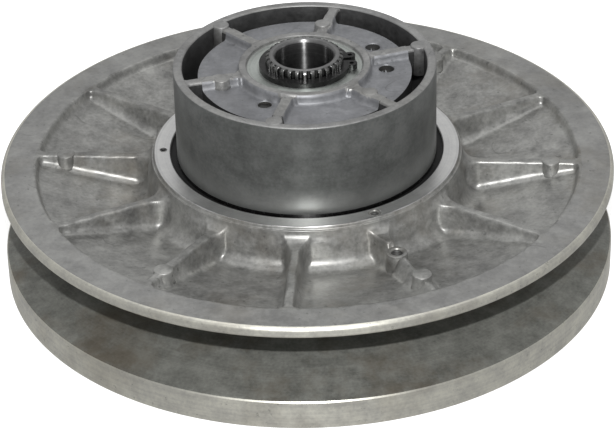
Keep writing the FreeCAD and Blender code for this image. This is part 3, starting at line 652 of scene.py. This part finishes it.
def make_fixed_sheave(cast, rim, belt, dark):
    shape = Shape("fixed_sheave_casting", [cast, rim, belt, dark])
    CAST, RIM, BELT, SHADED = range(4)
    profile = Profile(fixed_angles)
    ring = profile.ring
    profile.corners(RIM, (RIM_RADIUS - FIXED_EDGE, 0.0), (RIM_RADIUS, FIXED_EDGE),
                    (RIM_RADIUS, FIXED_RIM_TOP - FIXED_EDGE))
    outer_height = FIXED_RIM_TOP + FIXED_EDGE * BELT_SLOPE
    for radius, height in belt_outline(RIM_RADIUS - FIXED_EDGE, outer_height, FIXED_LIP[0], FIXED_LIP[1]):
        ring(radius, height, BELT, radius > RIM_RADIUS - 1 or radius < FIXED_LIP[0] + 0.1)
    # Painted shade over the bowl's wall and floor, the centre and the flange's top.
    ring(BOWL_RADIUS, FIXED_LIP[1] - 1.2, SHADED)
    ring(BOWL_RADIUS, BOWL_FLOOR + BOWL_ROUND, SHADED)
    ring(BOWL_RADIUS - BOWL_ROUND, BOWL_FLOOR, SHADED)
    profile.corners(SHADED, (CENTRE_RADIUS, BOWL_FLOOR), (CENTRE_RADIUS, FLANGE_TOP),
                    (FLANGE_RADIUS, FLANGE_TOP))
    ring(FLANGE_RADIUS, UNDERSIDE, CAST, True)
    for radius in spaced(*UNDERSIDE_STOPS):
        ring(radius, fixed_underside, CAST)
    ring(126.5, 0.0, RIM)
    profile.add_to(shape)
    shape.build("fixed_half", "cast_aluminium", "fixed_sheave")


# ---- cam cup
CUP_LINES = np.array([0, 0.7, 1.2, 1.6, 1.9, 2.15, 2.45, 2.8, 3.2, 3.7, 4.3, 5.0, 5.8])
CUP_SPREAD = 44
CUP_REFERENCE = 27.0
CUP_FILLET = 1.2
RING_FILLET = 1.5
DISK_STOPS = ((27.5, 0.3), (31.5, 0.5), (45.6, 0.2), (DRUM_RADIUS, 0.2))
CUP_WALL_SEGMENTS = 360
OUTER_PAD_CIRCLE = 51.2
INNER_PAD_CIRCLE = 37.0
MOAT_RIB_STATIONS = (44.6, 45.6, 46.2, 47.2, 48.6, 50.0, 51.0, 51.7, 52.2, 53.2)


def cup_angles(radius):
    return sector_angles(radius, CUP_RIB_COUNT, CUP_RIB_AZIMUTH, CUP_LINES, CUP_SPREAD, CUP_REFERENCE)


def cup_rib_top(along, across, number):
    """Height of a cup rib's top: level at the wall, lumpy towards the hub."""
    rough = np.clip((44.0 - along) / 8.0, 0, 1)
    lumps = rough * 0.16 * np.sin(along * 1.3 + number * 2.0) * np.cos(across * 1.1)
    return CUP_TOP - 0.7 - 0.3 * rough + lumps


def disk_top(radius, angle):
    number, along, across = rib_place(radius, angle, CUP_RIB_COUNT, CUP_RIB_AZIMUTH)
    x = radius * np.cos(angle)
    y = radius * np.sin(angle)
    depth = cup_rib_top(along, across, number) - DISK_TOP
    lump = (number % 2 == 1) * bell(along, INNER_PAD_CIRCLE, 3.0)
    foot = CUP_RIB_HALF + (depth - CUP_FILLET) / 6.0 + 0.06 * ripple(x, y, 12, 6) + 0.8 * lump
    foot = foot + corner_flare(along - RING_FOOT, 1.2)
    rib = soft_min(wall(np.abs(across) - foot, CUP_FILLET, 6.0), depth, 0.5)
    ring = soft_min(wall(radius - RING_FOOT + 0.8, RING_FILLET, 6.0), RING_TOP - DISK_TOP, 0.5)
    height = DISK_TOP + soft_join(rib, ring, power=3.0) + 0.05 * ripple(x, y, 16, 7)
    height = np.minimum(height, CUP_TOP - 0.1)
    for circle, degrees, hole in ANCHOR_HOLES:
        height = dig(height, x, y, around(circle, degrees), hole + 0.3, DISK_TOP - ANCHOR_DEPTH)
    return height


def ramp_height(_radius, angle):
    """Height of the drum's lower edge, where three helical ramps are cut into it."""
    turn = np.degrees(angle - RIB_AZIMUTH)
    turn = (turn + RAMP_START) % (360.0 / RAMP_COUNT) - RAMP_START
    surface = ROLLER_HEIGHT + RAMP_OFFSET + turn * RAMP_RISE
    cut = np.clip(surface, DRUM_BOTTOM, RAMP_ROOF)
    return np.where(turn < RAMP_END, cut, DRUM_BOTTOM)


def make_cam_cup(cast, disk, wall_material, foot, ledge, moat, dark):
    shape = Shape("cam_cup_casting", [cast, disk, wall_material, foot, ledge, moat, dark])
    CAST, DISK, WALL, FOOT, LEDGE, MOAT, SHADED = range(7)
    bore = SHAFT_RADIUS + 0.05
    profile = Profile(cup_angles)
    ring = profile.ring
    # Painted shade down the hub bore.
    ring(bore, CUP_HUB_BOTTOM, SHADED, True)
    ring(bore, HUB_LEDGE - 0.4, LEDGE, True)
    ring(bore + 0.4, HUB_LEDGE, LEDGE, True)
    ring(20.5, HUB_LEDGE, LEDGE)
    ring(24.2, HUB_LEDGE, LEDGE)
    ring(24.8, HUB_LEDGE + 0.15, LEDGE)
    ring(RING_INNER, HUB_LEDGE + 0.6, LEDGE)
    ring(RING_INNER, RING_TOP - RING_EDGE, CAST, True)
    ring(RING_INNER + RING_EDGE, RING_TOP, CAST, True)
    ring(26.8, RING_TOP, CAST)
    # The disk's outermost ring gets the painted-shade moat material.
    for radius in spaced(*DISK_STOPS):
        outermost = radius > DRUM_RADIUS - 0.01
        ring(radius, disk_top, MOAT if outermost else DISK, outermost)
    # Painted shade on the drum's ramps, its inside and the hub's underside.
    profile.corners(SHADED, (DRUM_RADIUS, ramp_height), (DRUM_INNER, ramp_height), (DRUM_INNER, DISK_UNDERSIDE),
                    (CUP_HUB_RADIUS, DISK_UNDERSIDE), (CUP_HUB_RADIUS, CUP_HUB_BOTTOM))
    profile.add_to(shape)
    shape.repaint((0, 0), DRUM_RADIUS + 0.1, CUP_TOP, CAST, CUP_TOP - 1.9)

    outline = [(CUP_INNER, CUP_BOTTOM), (CUP_RADIUS - 0.5, CUP_BOTTOM), (CUP_RADIUS, CUP_BOTTOM + 0.5),
               (CUP_RADIUS, 54.2), (CUP_RADIUS, 80.0), (CUP_RADIUS, CUP_TOP - 0.7),
               (CUP_RADIUS - 0.12, CUP_TOP - 0.3), (CUP_RADIUS - 0.45, CUP_TOP - 0.05),
               (CUP_RADIUS - 0.8, CUP_TOP), (CUP_INNER + 0.7, CUP_TOP), (CUP_INNER + 0.2, CUP_TOP - 0.15),
               (CUP_INNER, CUP_TOP - 0.6), (CUP_INNER, 86.0), (CUP_INNER, 70.0)]
    # Painted shade on the cup wall: the bottom and the lowest inner wall get the near-black inner cast, the
    # outer band up to 54.2 mm the near-black foot, and the inner wall by the moat the moat material.
    wall_materials = [SHADED] * 2 + [FOOT] + [WALL] * 3 + [CAST] * 5 + [MOAT] * 2 + [SHADED]
    shape.rings(circles((0.0, 0.0), outline, CUP_WALL_SEGMENTS), wall_materials, [0, 1])

    for number in range(CUP_RIB_COUNT):
        add_moat_rib(shape, number, CAST, MOAT)
        degrees = math.degrees(CUP_RIB_AZIMUTH) + number * 60
        top = CUP_TOP + 0.1
        if number % 2 == 0:
            add_button(shape, around(OUTER_PAD_CIRCLE, degrees), [
                (0, MOAT_RIB_BOTTOM), (3.9, MOAT_RIB_BOTTOM), (3.65, top - 2.0), (3.55, top - 0.3),
                (3.45, top - 0.1), (3.2, top), (0, top)], CAST)
        else:
            low = DISK_TOP - 0.5
            drop = 0.25 if number == 1 else 0.8
            add_button(shape, around(INNER_PAD_CIRCLE, degrees + 2.0), [
                (0, low), (4.4, low), (3.7, low + 1.4), (3.4, top - drop - 0.35), (3.3, top - drop - 0.15),
                (3.0, top - drop - 0.05), (0, top - drop)], CAST)
    for circle, degrees, hole in ANCHOR_HOLES:
        shape.turned(around(circle, degrees), [
            (hole, DISK_UNDERSIDE + 0.1), (hole, DISK_TOP - 0.35), (hole + 0.35, DISK_TOP + 0.06),
            (hole + 0.75, DISK_TOP + 0.06), (hole + 0.75, DISK_UNDERSIDE + 0.1)], DISK, 36)
        # Painted shade inside each anchor hole.
        shape.repaint(around(circle, degrees), hole + 0.32, DISK_TOP - 0.2, SHADED)
    shape.build("fixed_half", "cup_aluminium", "cam_cup")


def add_moat_rib(shape, number, top_material, side_material):
    """One rib bridging from the disk's edge to the cup's wall."""
    azimuth = CUP_RIB_AZIMUTH + number * 2 * math.pi / CUP_RIB_COUNT
    rings = []
    for along in MOAT_RIB_STATIONS:
        top = float(cup_rib_top(np.array(along), np.array(0.0), number)) - 0.03
        half = CUP_RIB_HALF + float(corner_flare(np.array(CUP_INNER - along), 1.3))
        side = [(half - 0.75, top), (half - 0.35, top - 0.12), (half - 0.1, top - 0.45),
                (half + 0.05, top - 1.2), (half + 0.15, top - 3.0), (half + 0.2, 88.0),
                (half + 0.25, MOAT_RIB_BOTTOM)]
        section = side + [(-across, height) for across, height in reversed(side)]
        rings.append(np.array([(*swung(along, across, azimuth), height) for across, height in section]))
    size = len(rings[0])
    first = len(shape.faces)
    add_capped(shape, rings, top_material)
    # The rib's sides get the painted-shade moat material.
    for step in range(3, size - 4):
        for index in range(len(rings) - 1):
            shape.face_materials[first + index * size + step] = side_material


# ---- shaft
def make_shaft(steel, end_face, bore):
    shape = Shape("splined_shaft_steel", [steel, end_face, bore])
    STEEL, END, BORE = range(3)
    count = SPLINE_COUNT * TOOTH_POINTS
    angles = np.linspace(0, 2 * math.pi, count, endpoint=False)
    phase = (angles * SPLINE_COUNT / (2 * math.pi)) % 1.0
    tooth = np.clip((0.66 - np.abs(phase - 0.5) * 2) / 0.26, 0, 1)
    tooth = tooth * tooth * (3 - 2 * tooth)
    splined = SPLINE_ROOT + (SHAFT_RADIUS - SPLINE_ROOT) * tooth
    drive_phase = (angles * DRIVE_COUNT / (2 * math.pi)) % 1.0
    grooved = BORE_RADIUS + DRIVE_DEPTH * np.clip((0.6 - np.abs(drive_phase - 0.5) * 2) / 0.2, 0, 1)
    groove_low = HUB_LEDGE + 0.05
    groove_high = HUB_LEDGE + 2.2
    profile = Profile(lambda _radius: angles)
    ring = profile.ring
    # The last corner keeps the teeth out of the plain part's smooth normals.
    profile.corners(STEEL, (grooved, UNDERSIDE), (SHAFT_FLANGE - 0.4, UNDERSIDE),
                    (SHAFT_FLANGE, UNDERSIDE + 0.4), (SHAFT_FLANGE, FLANGE_TOP), (SHAFT_RADIUS, FLANGE_TOP),
                    (SHAFT_RADIUS, SPLINE_BOTTOM - 1.5))
    ring(splined, SPLINE_BOTTOM, STEEL)
    profile.corners(STEEL, (splined, groove_low), (GROOVE_RADIUS, groove_low), (GROOVE_RADIUS, groove_high),
                    (splined, groove_high))
    for step in range(TIP_STEPS + 1):
        height = SHAFT_TOP - TIP_HEIGHT + TIP_HEIGHT * step / TIP_STEPS
        curve = math.sqrt(max(0.0, 1 - (step / TIP_STEPS) ** 2))
        limit = TIP_RADIUS + (SHAFT_RADIUS - TIP_RADIUS) * curve
        ring(np.minimum(splined, limit), height, STEEL, step == TIP_STEPS)
    ring(15.0, SHAFT_TOP, END)
    ring(BORE_RADIUS + 0.8, SHAFT_TOP, END, True)
    ring(BORE_RADIUS + 0.25, SHAFT_TOP - 0.55, END)
    ring(BORE_RADIUS, SHAFT_TOP - BORE_EDGE, BORE)
    for step in range(1, 8):
        ring(BORE_RADIUS, SHAFT_TOP - BORE_EDGE - (SHAFT_TOP - BORE_EDGE - DRIVE_TOP - 1) * step / 7, BORE)
    ring(grooved, DRIVE_TOP, BORE)
    profile.add_to(shape)
    shape.build("fixed_half", "shaft_steel", "splined_shaft")


# ---- torsion spring
def make_spring(wire):
    """Coils of round wire with a lower end in the washer and an upper end in its anchor hole."""
    shape = Shape("torsion_spring_coils", [wire])
    low = WASHER_HIGH[2] + WIRE_RADIUS
    high = SEAT_LOW[2] - WIRE_RADIUS
    path = []
    start = np.array([*around(SPRING_RADIUS, SPRING_DEGREES), 0.0])
    for height in (WASHER_LOW[2] + 0.5, low - 2.2):
        path.append(start + np.array([0, 0, height]))
    steps = int(SPRING_TURNS * COIL_STEPS)
    for step in range(2, steps - 1):
        angle = math.radians(SPRING_DEGREES) + step * 2 * math.pi / COIL_STEPS
        path.append(np.array([SPRING_RADIUS * math.cos(angle), SPRING_RADIUS * math.sin(angle),
                              low + (high - low) * step / steps]))
    for circle, height in ((29.0, high), (31.4, high + 0.4), (TANG_CIRCLE, high + 2.6), (TANG_CIRCLE, 90.0)):
        path.append(np.array([*around(circle, SPRING_DEGREES), height]))
    rings = []
    side = np.array([1.0, 0.0, 0.0])
    angles = np.linspace(0, 2 * math.pi, WIRE_SEGMENTS, endpoint=False)
    for index, point in enumerate(path):
        before = path[max(index - 1, 0)]
        after = path[min(index + 1, len(path) - 1)]
        direction = (after - before) / np.linalg.norm(after - before)
        side = side - direction * (side @ direction)
        side = side / np.linalg.norm(side)
        other = np.cross(direction, side)
        rings.append(point + WIRE_RADIUS * (np.cos(angles)[:, None] * side + np.sin(angles)[:, None] * other))
    add_capped(shape, rings, 0)
    piece = shape.build("fixed_half", "spring_wire", "torsion_spring")
    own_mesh(piece)


# ---- materials
class Paint:
    """One procedural material. Colours are linear; lengths along the object are millimetres."""

    def __init__(self, name, metallic, roughness, colour, **values):
        self.material = bpy.data.materials.new(name)
        self.material.use_nodes = True
        self.tree = self.material.node_tree
        self.shader = self.tree.nodes["Principled BSDF"]
        values.update(Metallic=metallic, Roughness=roughness, Base_Color=(*colour, 1))
        for label, value in values.items():
            self.shader.inputs[label.replace("_", " ")].default_value = value
        self.place = self.node("TexCoord").outputs["Object"]
        self.normal = None

    def node(self, kind, **inputs):
        made = self.tree.nodes.new(f"ShaderNode{kind}")
        for label, value in inputs.items():
            self.feed(made.inputs[label.replace("_", " ")], value)
        return made

    def feed(self, socket, value):
        if isinstance(value, bpy.types.NodeSocket):
            self.tree.links.new(value, socket)
        else:
            socket.default_value = value

    def noise(self, size, detail=3.0, rough=0.55, shift=0.0):
        """Noise of features about `size` mm across."""
        moved = self.node("Mapping", Vector=self.place, Location=(shift, shift, shift))
        made = self.node("TexNoise", Vector=moved.outputs[0], Scale=1 / (size * MM), Detail=detail,
                         Roughness=rough)
        return made.outputs[0]

    def math(self, operation, first, second=0.0, third=0.0):
        made = self.node("Math")
        made.operation = operation
        for socket, value in zip(made.inputs, (first, second, third)):
            self.feed(socket, value)
        return made.outputs[0]

    def weigh(self, *pairs):
        """Weighted sum of (value, weight) pairs."""
        found = 0.0
        for value, weight in pairs:
            found = self.math("MULTIPLY_ADD", value, weight, found)
        return found

    def ramp(self, value, *stops):
        made = self.node("ValToRGB", Fac=value)
        elements = made.color_ramp.elements
        while len(elements) < len(stops):
            elements.new(0.5)
        for element, (position, colour) in zip(elements, stops):
            element.position = position
            element.color = (*colour, 1) if isinstance(colour, tuple) else (colour, colour, colour, 1)
        return made.outputs[0]

    def mix(self, factor, first, second):
        made = self.node("Mix")
        made.data_type = "RGBA"
        self.feed(made.inputs[0], factor)
        for socket, value in ((made.inputs[6], first), (made.inputs[7], second)):
            self.feed(socket, (*value, 1) if isinstance(value, tuple) else value)
        return made.outputs[2]

    def radius(self):
        flat = self.node("VectorMath", Vector=self.place)
        flat.operation = "MULTIPLY"
        flat.inputs[1].default_value = (1, 1, 0)
        length = self.node("VectorMath")
        length.operation = "LENGTH"
        self.feed(length.inputs[0], flat.outputs["Vector"])
        return length.outputs["Value"]

    def height(self):
        return self.node("SeparateXYZ", Vector=self.place).outputs["Z"]

    def grooves(self, size):
        """Turning marks: noise that changes only with the radius and the height."""
        across = self.math("ADD", self.radius(), self.math("MULTIPLY", self.height(), 1.7))
        made = self.node("TexNoise")
        made.noise_dimensions = "1D"
        self.feed(made.inputs["W"], across)
        made.inputs["Scale"].default_value = 1 / (size * MM)
        made.inputs["Detail"].default_value = 3.0
        return made.outputs[0]

    def bump(self, height, depth):
        """Raise the surface by up to `depth` mm where `height` is 1."""
        made = self.node("Bump", Height=height, Strength=1.0, Distance=depth * MM)
        if self.normal:
            self.feed(made.inputs["Normal"], self.normal)
        self.normal = made.outputs[0]

    def finish(self, colour=None, roughness=None, turned=False):
        for label, value in (("Base Color", colour), ("Roughness", roughness), ("Normal", self.normal)):
            if value:
                self.feed(self.shader.inputs[label], value)
        if turned:
            tangent = self.node("Tangent")
            tangent.direction_type = "RADIAL"
            tangent.axis = "Z"
            self.feed(self.shader.inputs["Tangent"], tangent.outputs[0])
        return self.material


def grey(value, warm=0.0):
    return value, value, value * (1 - 1.6 * warm)


def scratches(paint, size, width, seed):
    """Thin wandering lines: where a soft noise crosses its middle value, in patches."""
    line = paint.math("ABSOLUTE", paint.math("SUBTRACT", paint.noise(size, 1.0, 0.4, shift=seed), 0.5))
    line = paint.ramp(line, (0.0, 1.0), (width, 0.0))
    patch = paint.ramp(paint.noise(size * 0.8, 1.0, 0.5, shift=seed + 3.1), (0.6, 0.0), (0.66, 1.0))
    return paint.math("MULTIPLY", line, patch)


def cast_metal(name, dark, light, stain, stain_share, depth, rough, metallic):
    """Tumbled casting: mottled, with stains, dark scratches and an uneven skin."""
    paint = Paint(name, metallic, 0.45, light)
    blotch = paint.noise(26, 4.0, 0.62)
    patch = paint.noise(7.5, 4.0, 0.6, shift=1.7)
    grain = paint.noise(1.6, 3.0, 0.6, shift=4.2)
    mottle = paint.weigh((blotch, 0.4), (patch, 0.35), (grain, 0.25))
    middle = tuple((a + b) / 2 for a, b in zip(dark, light))
    colour = paint.ramp(mottle, (0.36, dark), (0.5, middle), (0.63, light))
    stained = paint.ramp(paint.noise(58, 5.0, 0.68, shift=9.0), (0.5, 0.0), (0.68, stain_share))
    colour = paint.mix(stained, colour, stain)
    colour = paint.mix(paint.math("MULTIPLY", scratches(paint, 24, 0.008, 2.0), 0.35), colour, grey(0.06))
    speck = paint.ramp(paint.noise(3.4, 2.0, 0.7, shift=5.0), (0.66, 0.0), (0.74, 0.45))
    colour = paint.mix(speck, colour, grey(0.07))
    roughness = paint.ramp(paint.weigh((patch, 0.6), (grain, 0.4)), (0.4, rough[0]), (0.62, rough[1]))
    paint.bump(paint.noise(11, 3.0, 0.5, shift=2.4), depth * 3.0)
    paint.bump(patch, depth * 1.4)
    paint.bump(grain, depth)
    return paint.finish(colour, roughness)


def turned_metal(name, dark, light, rough, depth, anisotropy, stain=None, stain_share=0.0, metallic=1.0,
                 ticks=0.0, lines=0.45, painted_foot_glow=None, **values):
    """Machined face with turning marks round the shaft's axis."""
    paint = Paint(name, metallic, rough, light, Anisotropic=anisotropy, Anisotropic_Rotation=0.25, **values)
    marks = paint.grooves(0.7)
    wide = paint.grooves(3.5)
    patch = paint.noise(9, 4.0, 0.6)
    grain = paint.noise(1.3, 3.0, 0.6, shift=3.0)
    mottle = paint.weigh((marks, lines * 0.55), (wide, lines * 0.45), (patch, 0.64 - lines * 0.64),
                         (grain, 0.36 - lines * 0.36))
    colour = paint.ramp(mottle, (0.38, dark), (0.6, light))
    if stain:
        stained = paint.ramp(paint.noise(42, 5.0, 0.7, shift=5.0), (0.47, 0.0), (0.64, stain_share))
        colour = paint.mix(stained, colour, stain)
    # Painted reflection: the wall is made lighter from 50 up to 68 mm, where the bright collar face shows in
    # it.
    if painted_foot_glow:
        low = paint.ramp(paint.height(), (0.05, 0.8), (0.068, 0.0))
        colour = paint.mix(low, colour, painted_foot_glow)
    if ticks:
        tick = paint.ramp(paint.noise(3.0, 3.0, 0.75, shift=7.0), (0.64, 0.0), (0.72, ticks))
        colour = paint.mix(tick, colour, grey(0.05, 0.1))
    roughness = paint.weigh((patch, 0.16), (grain, 0.1), (1.0, rough - 0.13))
    paint.bump(marks, depth)
    paint.bump(patch, depth * 2.0)
    return paint.finish(colour, roughness, True)


def plain_metal(name, dark, light, rough, depth=0.01, metallic=1.0, size=2.2):
    paint = Paint(name, metallic, rough, light)
    patch = paint.noise(size * 3, 4.0, 0.6)
    grain = paint.noise(size * 0.4, 3.0, 0.6, shift=2.0)
    colour = paint.ramp(paint.weigh((patch, 0.6), (grain, 0.4)), (0.4, dark), (0.6, light))
    paint.bump(grain, depth)
    return paint.finish(colour, paint.weigh((patch, 0.2), (1.0, rough - 0.1)))


def polymer(name, dark, light, rough, depth=0.02):
    return plain_metal(name, dark, light, rough, depth, 0.0, 3.0)


def shaft_steel():
    """Ground steel, with painted shade darkening the spline's roots."""
    paint = Paint("shaft_ground_steel", 1.0, 0.26, grey(0.5), Anisotropic=0.6, Anisotropic_Rotation=0.25)
    patch = paint.noise(5, 4.0, 0.6)
    colour = paint.ramp(patch, (0.38, grey(0.32)), (0.6, grey(0.47, 0.01)))
    # Painted shade: the spline's roots above SPLINE_BOTTOM are made near black.
    root_shade = paint.ramp(paint.radius(), (0.0152, 1.0), (0.0164, 0.0))
    above = paint.math("GREATER_THAN", paint.height(), SPLINE_BOTTOM * MM)
    colour = paint.mix(paint.math("MULTIPLY", root_shade, above), colour, grey(0.03))
    paint.bump(paint.noise(0.8, 3.0), 0.004)
    return paint.finish(colour, paint.weigh((patch, 0.08), (1.0, 0.22)), True)


def floor_look():
    paint = Paint("floor_pale", 0.0, 0.6, grey(0.86), Specular_IOR_Level=0.1,
                  Emission_Color=(1, 1, 1, 1), Emission_Strength=FLOOR_GLOW)
    return paint.finish(paint.ramp(paint.noise(300, 2.0), (0.3, grey(0.86)), (0.7, grey(0.89))))


# ---- camera, lights and floor
LENS = 161.37
SENSOR = 36.0
CAMERA_AT = Vector((-0.0004, -1.0351, 0.6619))
CAMERA_AIM = Vector((-0.0004, 0.0, 0.019))
CAMERA_ROLL = 0.0258292
FLASH_ELEVATION = math.radians(38.7)
FLASH_DISTANCE = 1.2
FLASH_SIZE = 0.03
FLASH_POWER = 11.2
WORLD_STRENGTH = 0.45
FLOOR_GLOW = 0.55
FLOOR_HALF = 4.0
# place, aim, size in metres and power in watts
TENT_TOP = ((0, 0.25, 1.6), (0, 0, 0), 1.4, 5.7)
CARD_BEHIND = ((0, 1.6, 1.15), (0, 0, 0.05), 1.6, 0.8)


def add_camera():
    data = bpy.data.cameras.new("camera")
    data.lens = LENS
    data.sensor_width = SENSOR
    data.clip_end = 20.0
    camera = add_object("camera", data)
    forward = (CAMERA_AIM - CAMERA_AT).normalized()
    level = Vector((1, 0, 0))
    upright = level.cross(forward).normalized()
    right = math.cos(CAMERA_ROLL) * level - math.sin(CAMERA_ROLL) * upright
    up = math.sin(CAMERA_ROLL) * level + math.cos(CAMERA_ROLL) * upright
    axes = Matrix((right, up, -forward)).transposed().to_4x4()
    camera.matrix_world = Matrix.Translation(CAMERA_AT) @ axes
    bpy.context.scene.camera = camera


def add_area_light(name, at, aim, size, power):
    data = bpy.data.lights.new(name, "AREA")
    data.shape = "DISK"
    data.size = size
    data.energy = power
    light = add_object(name, data)
    light.location = at
    light.rotation_euler = (Vector(aim) - Vector(at)).to_track_quat("-Z", "Y").to_euler()


def add_lights():
    forward = FLASH_DISTANCE * math.cos(FLASH_ELEVATION)
    upward = FLASH_DISTANCE * math.sin(FLASH_ELEVATION)
    add_area_light("flash", (0, -forward, upward + 0.05), (0, 0, 0.05), FLASH_SIZE, FLASH_POWER)
    add_area_light("tent_top", *TENT_TOP)
    add_area_light("card_behind", *CARD_BEHIND)
    world = bpy.data.worlds.new("tent")
    world.use_nodes = True
    background = world.node_tree.nodes["Background"].inputs
    background["Color"].default_value = (1, 1, 1, 1)
    background["Strength"].default_value = WORLD_STRENGTH
    bpy.context.scene.world = world


def add_floor(material):
    half = FLOOR_HALF
    mesh = bpy.data.meshes.new("floor")
    corners = [(-half, -half, 0), (half, -half, 0), (half, half, 0), (-half, half, 0)]
    mesh.from_pydata(corners, [], [(0, 1, 2, 3)])
    mesh.materials.append(material)
    floor = add_object("floor", mesh)
    floor.visible_glossy = False


def numbered(name):
    return tuple(f"{name}_{number}" for number in (1, 2, 3))


def paint_node(name, material):
    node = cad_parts[name]
    if not node.material_slots:
        node.data.materials.append(material)
    for place in node.material_slots:
        place.material = material


# ---- the scene
cast = cast_metal("sheave_cast", grey(0.165, 0.02), grey(0.42, 0.025), (0.16, 0.135, 0.1), 0.5, 0.035,
                  (0.34, 0.5), 0.7)
band_cast = cast_metal("sheave_band", grey(0.22, 0.01), grey(0.39, 0.02), (0.21, 0.19, 0.15), 0.35, 0.012,
                       (0.34, 0.48), 0.7)
under_cast = cast_metal("fixed_cast", grey(0.18, 0.02), grey(0.38, 0.025), (0.19, 0.16, 0.12), 0.4, 0.03,
                        (0.36, 0.52), 0.7)
cup_cast = cast_metal("cup_rib_cast", grey(0.19), grey(0.38, 0.01), (0.2, 0.19, 0.16), 0.25, 0.03,
                      (0.4, 0.54), 0.66)
disk_cast = cast_metal("cup_disk_cast", (0.165, 0.17, 0.18), (0.325, 0.33, 0.345), (0.14, 0.14, 0.145), 0.5,
                       0.03, (0.46, 0.6), 0.6)
# Painted shade: near-black cast for the cup's deep moat, the wall inside it and the rib sides down in it.
moat_shade_cast = cast_metal("cup_moat_painted_shade", grey(0.04), grey(0.1), grey(0.05), 0.4, 0.03, (0.4, 0.55), 0.6)
# Painted shade: the same casting made near black for bores, hole walls, undersides, posts and other hollows.
shaded_inner_cast = cast_metal("inner_cast_painted_shade", grey(0.05), grey(0.11, 0.02), (0.06, 0.05, 0.04), 0.4, 0.03,
                       (0.5, 0.65), 0.6)
face_metal = turned_metal("collar_face_turned", grey(0.66), grey(0.82, 0.01), 0.34, 0.0005, 0.4)
ledge_metal = turned_metal("hub_ledge_turned", (0.5, 0.53, 0.5), (0.66, 0.7, 0.67), 0.34, 0.0008, 0.9)
# Painted shade: the cup wall's outer band from its bottom up to 54.2 mm, next to the collar, made near black.
foot_shade_metal = turned_metal("cup_foot_painted_shade", grey(0.07), grey(0.12), 0.26, 0.0004, 1.0)
end_metal = turned_metal("shaft_end_turned", grey(0.2), grey(0.32), 0.34, 0.001, 0.8)
rim_metal = turned_metal("rim_turned", (0.565, 0.556, 0.514), (0.795, 0.782, 0.695), 0.44, 0.0012, 0.55,
                         (0.34, 0.3, 0.23), 0.25, ticks=0.4, lines=0.3)
belt_metal = turned_metal("belt_face_turned", (0.132, 0.134, 0.122), (0.25, 0.254, 0.232), 0.52, 0.004, 0.2,
                          (0.12, 0.095, 0.065), 0.6, 0.42, lines=0.2)
# The cup wall's lighter lower band is painted reflection of the bright collar face.
cup_metal = turned_metal("cup_wall_turned", (0.115, 0.12, 0.117), (0.186, 0.192, 0.187), 0.47, 0.002, 0.3,
                         (0.08, 0.083, 0.08), 0.45, 0.8, lines=0.12, painted_foot_glow=(0.27, 0.275, 0.265))
bore_metal = turned_metal("bore_ground", grey(0.12), grey(0.2), 0.32, 0.0004, 1.0)
shaft_metal = shaft_steel()
wire_metal = plain_metal("spring_wire_steel", grey(0.06), grey(0.14, 0.02), 0.36)

add_camera()
add_lights()
add_floor(floor_look())
make_sliding_sheave(cast, band_cast, face_metal, rim_metal, belt_metal, shaded_inner_cast)
make_fixed_sheave(under_cast, rim_metal, belt_metal, shaded_inner_cast)
make_cam_cup(cup_cast, disk_cast, cup_metal, foot_shade_metal, ledge_metal, moat_shade_cast, shaded_inner_cast)
make_shaft(shaft_metal, end_metal, bore_metal)
make_spring(wire_metal)

bushing_look = turned_metal("bushing_black", grey(0.006), grey(0.015), 0.4, 0.001, 0.9, metallic=0.0,
                            Specular_IOR_Level=0.15)
roller_look = polymer("roller_nylon", (0.5, 0.47, 0.4), (0.62, 0.59, 0.5), 0.4)
pin_look = plain_metal("pin_ground_steel", grey(0.38), grey(0.6), 0.24, 0.004)
clip_look = plain_metal("black_oxide_steel", grey(0.012), grey(0.035), 0.3, 0.006, 0.7)
washer_look = plain_metal("washer_zinc_steel", grey(0.3), grey(0.5, 0.02), 0.34)
rubber_look = polymer("bumper_black_rubber", grey(0.01), grey(0.022), 0.7, 0.04)
CARRIED = (
    (bushing_look, ("large_bushing", "small_bushing_upper", "small_bushing_lower")),
    (pin_look, ("shaft_rivets", *numbered("roller_pin"))),
    (clip_look, ("circlip", "collar_set_screw", "bushing_locating_pin", *numbered("pin_clip"))),
    (washer_look, ("lower_spring_washer", "upper_spring_seat")),
    (rubber_look, ("bumper_ring",)),
    (roller_look, numbered("roller")),
    (bushing_look, numbered("roller_liner")),
)
for material, names in CARRIED:
    for name in names:
        paint_node(name, material)

bpy.context.scene.view_settings.view_transform = "Standard"
bpy.context.view_layer.update()
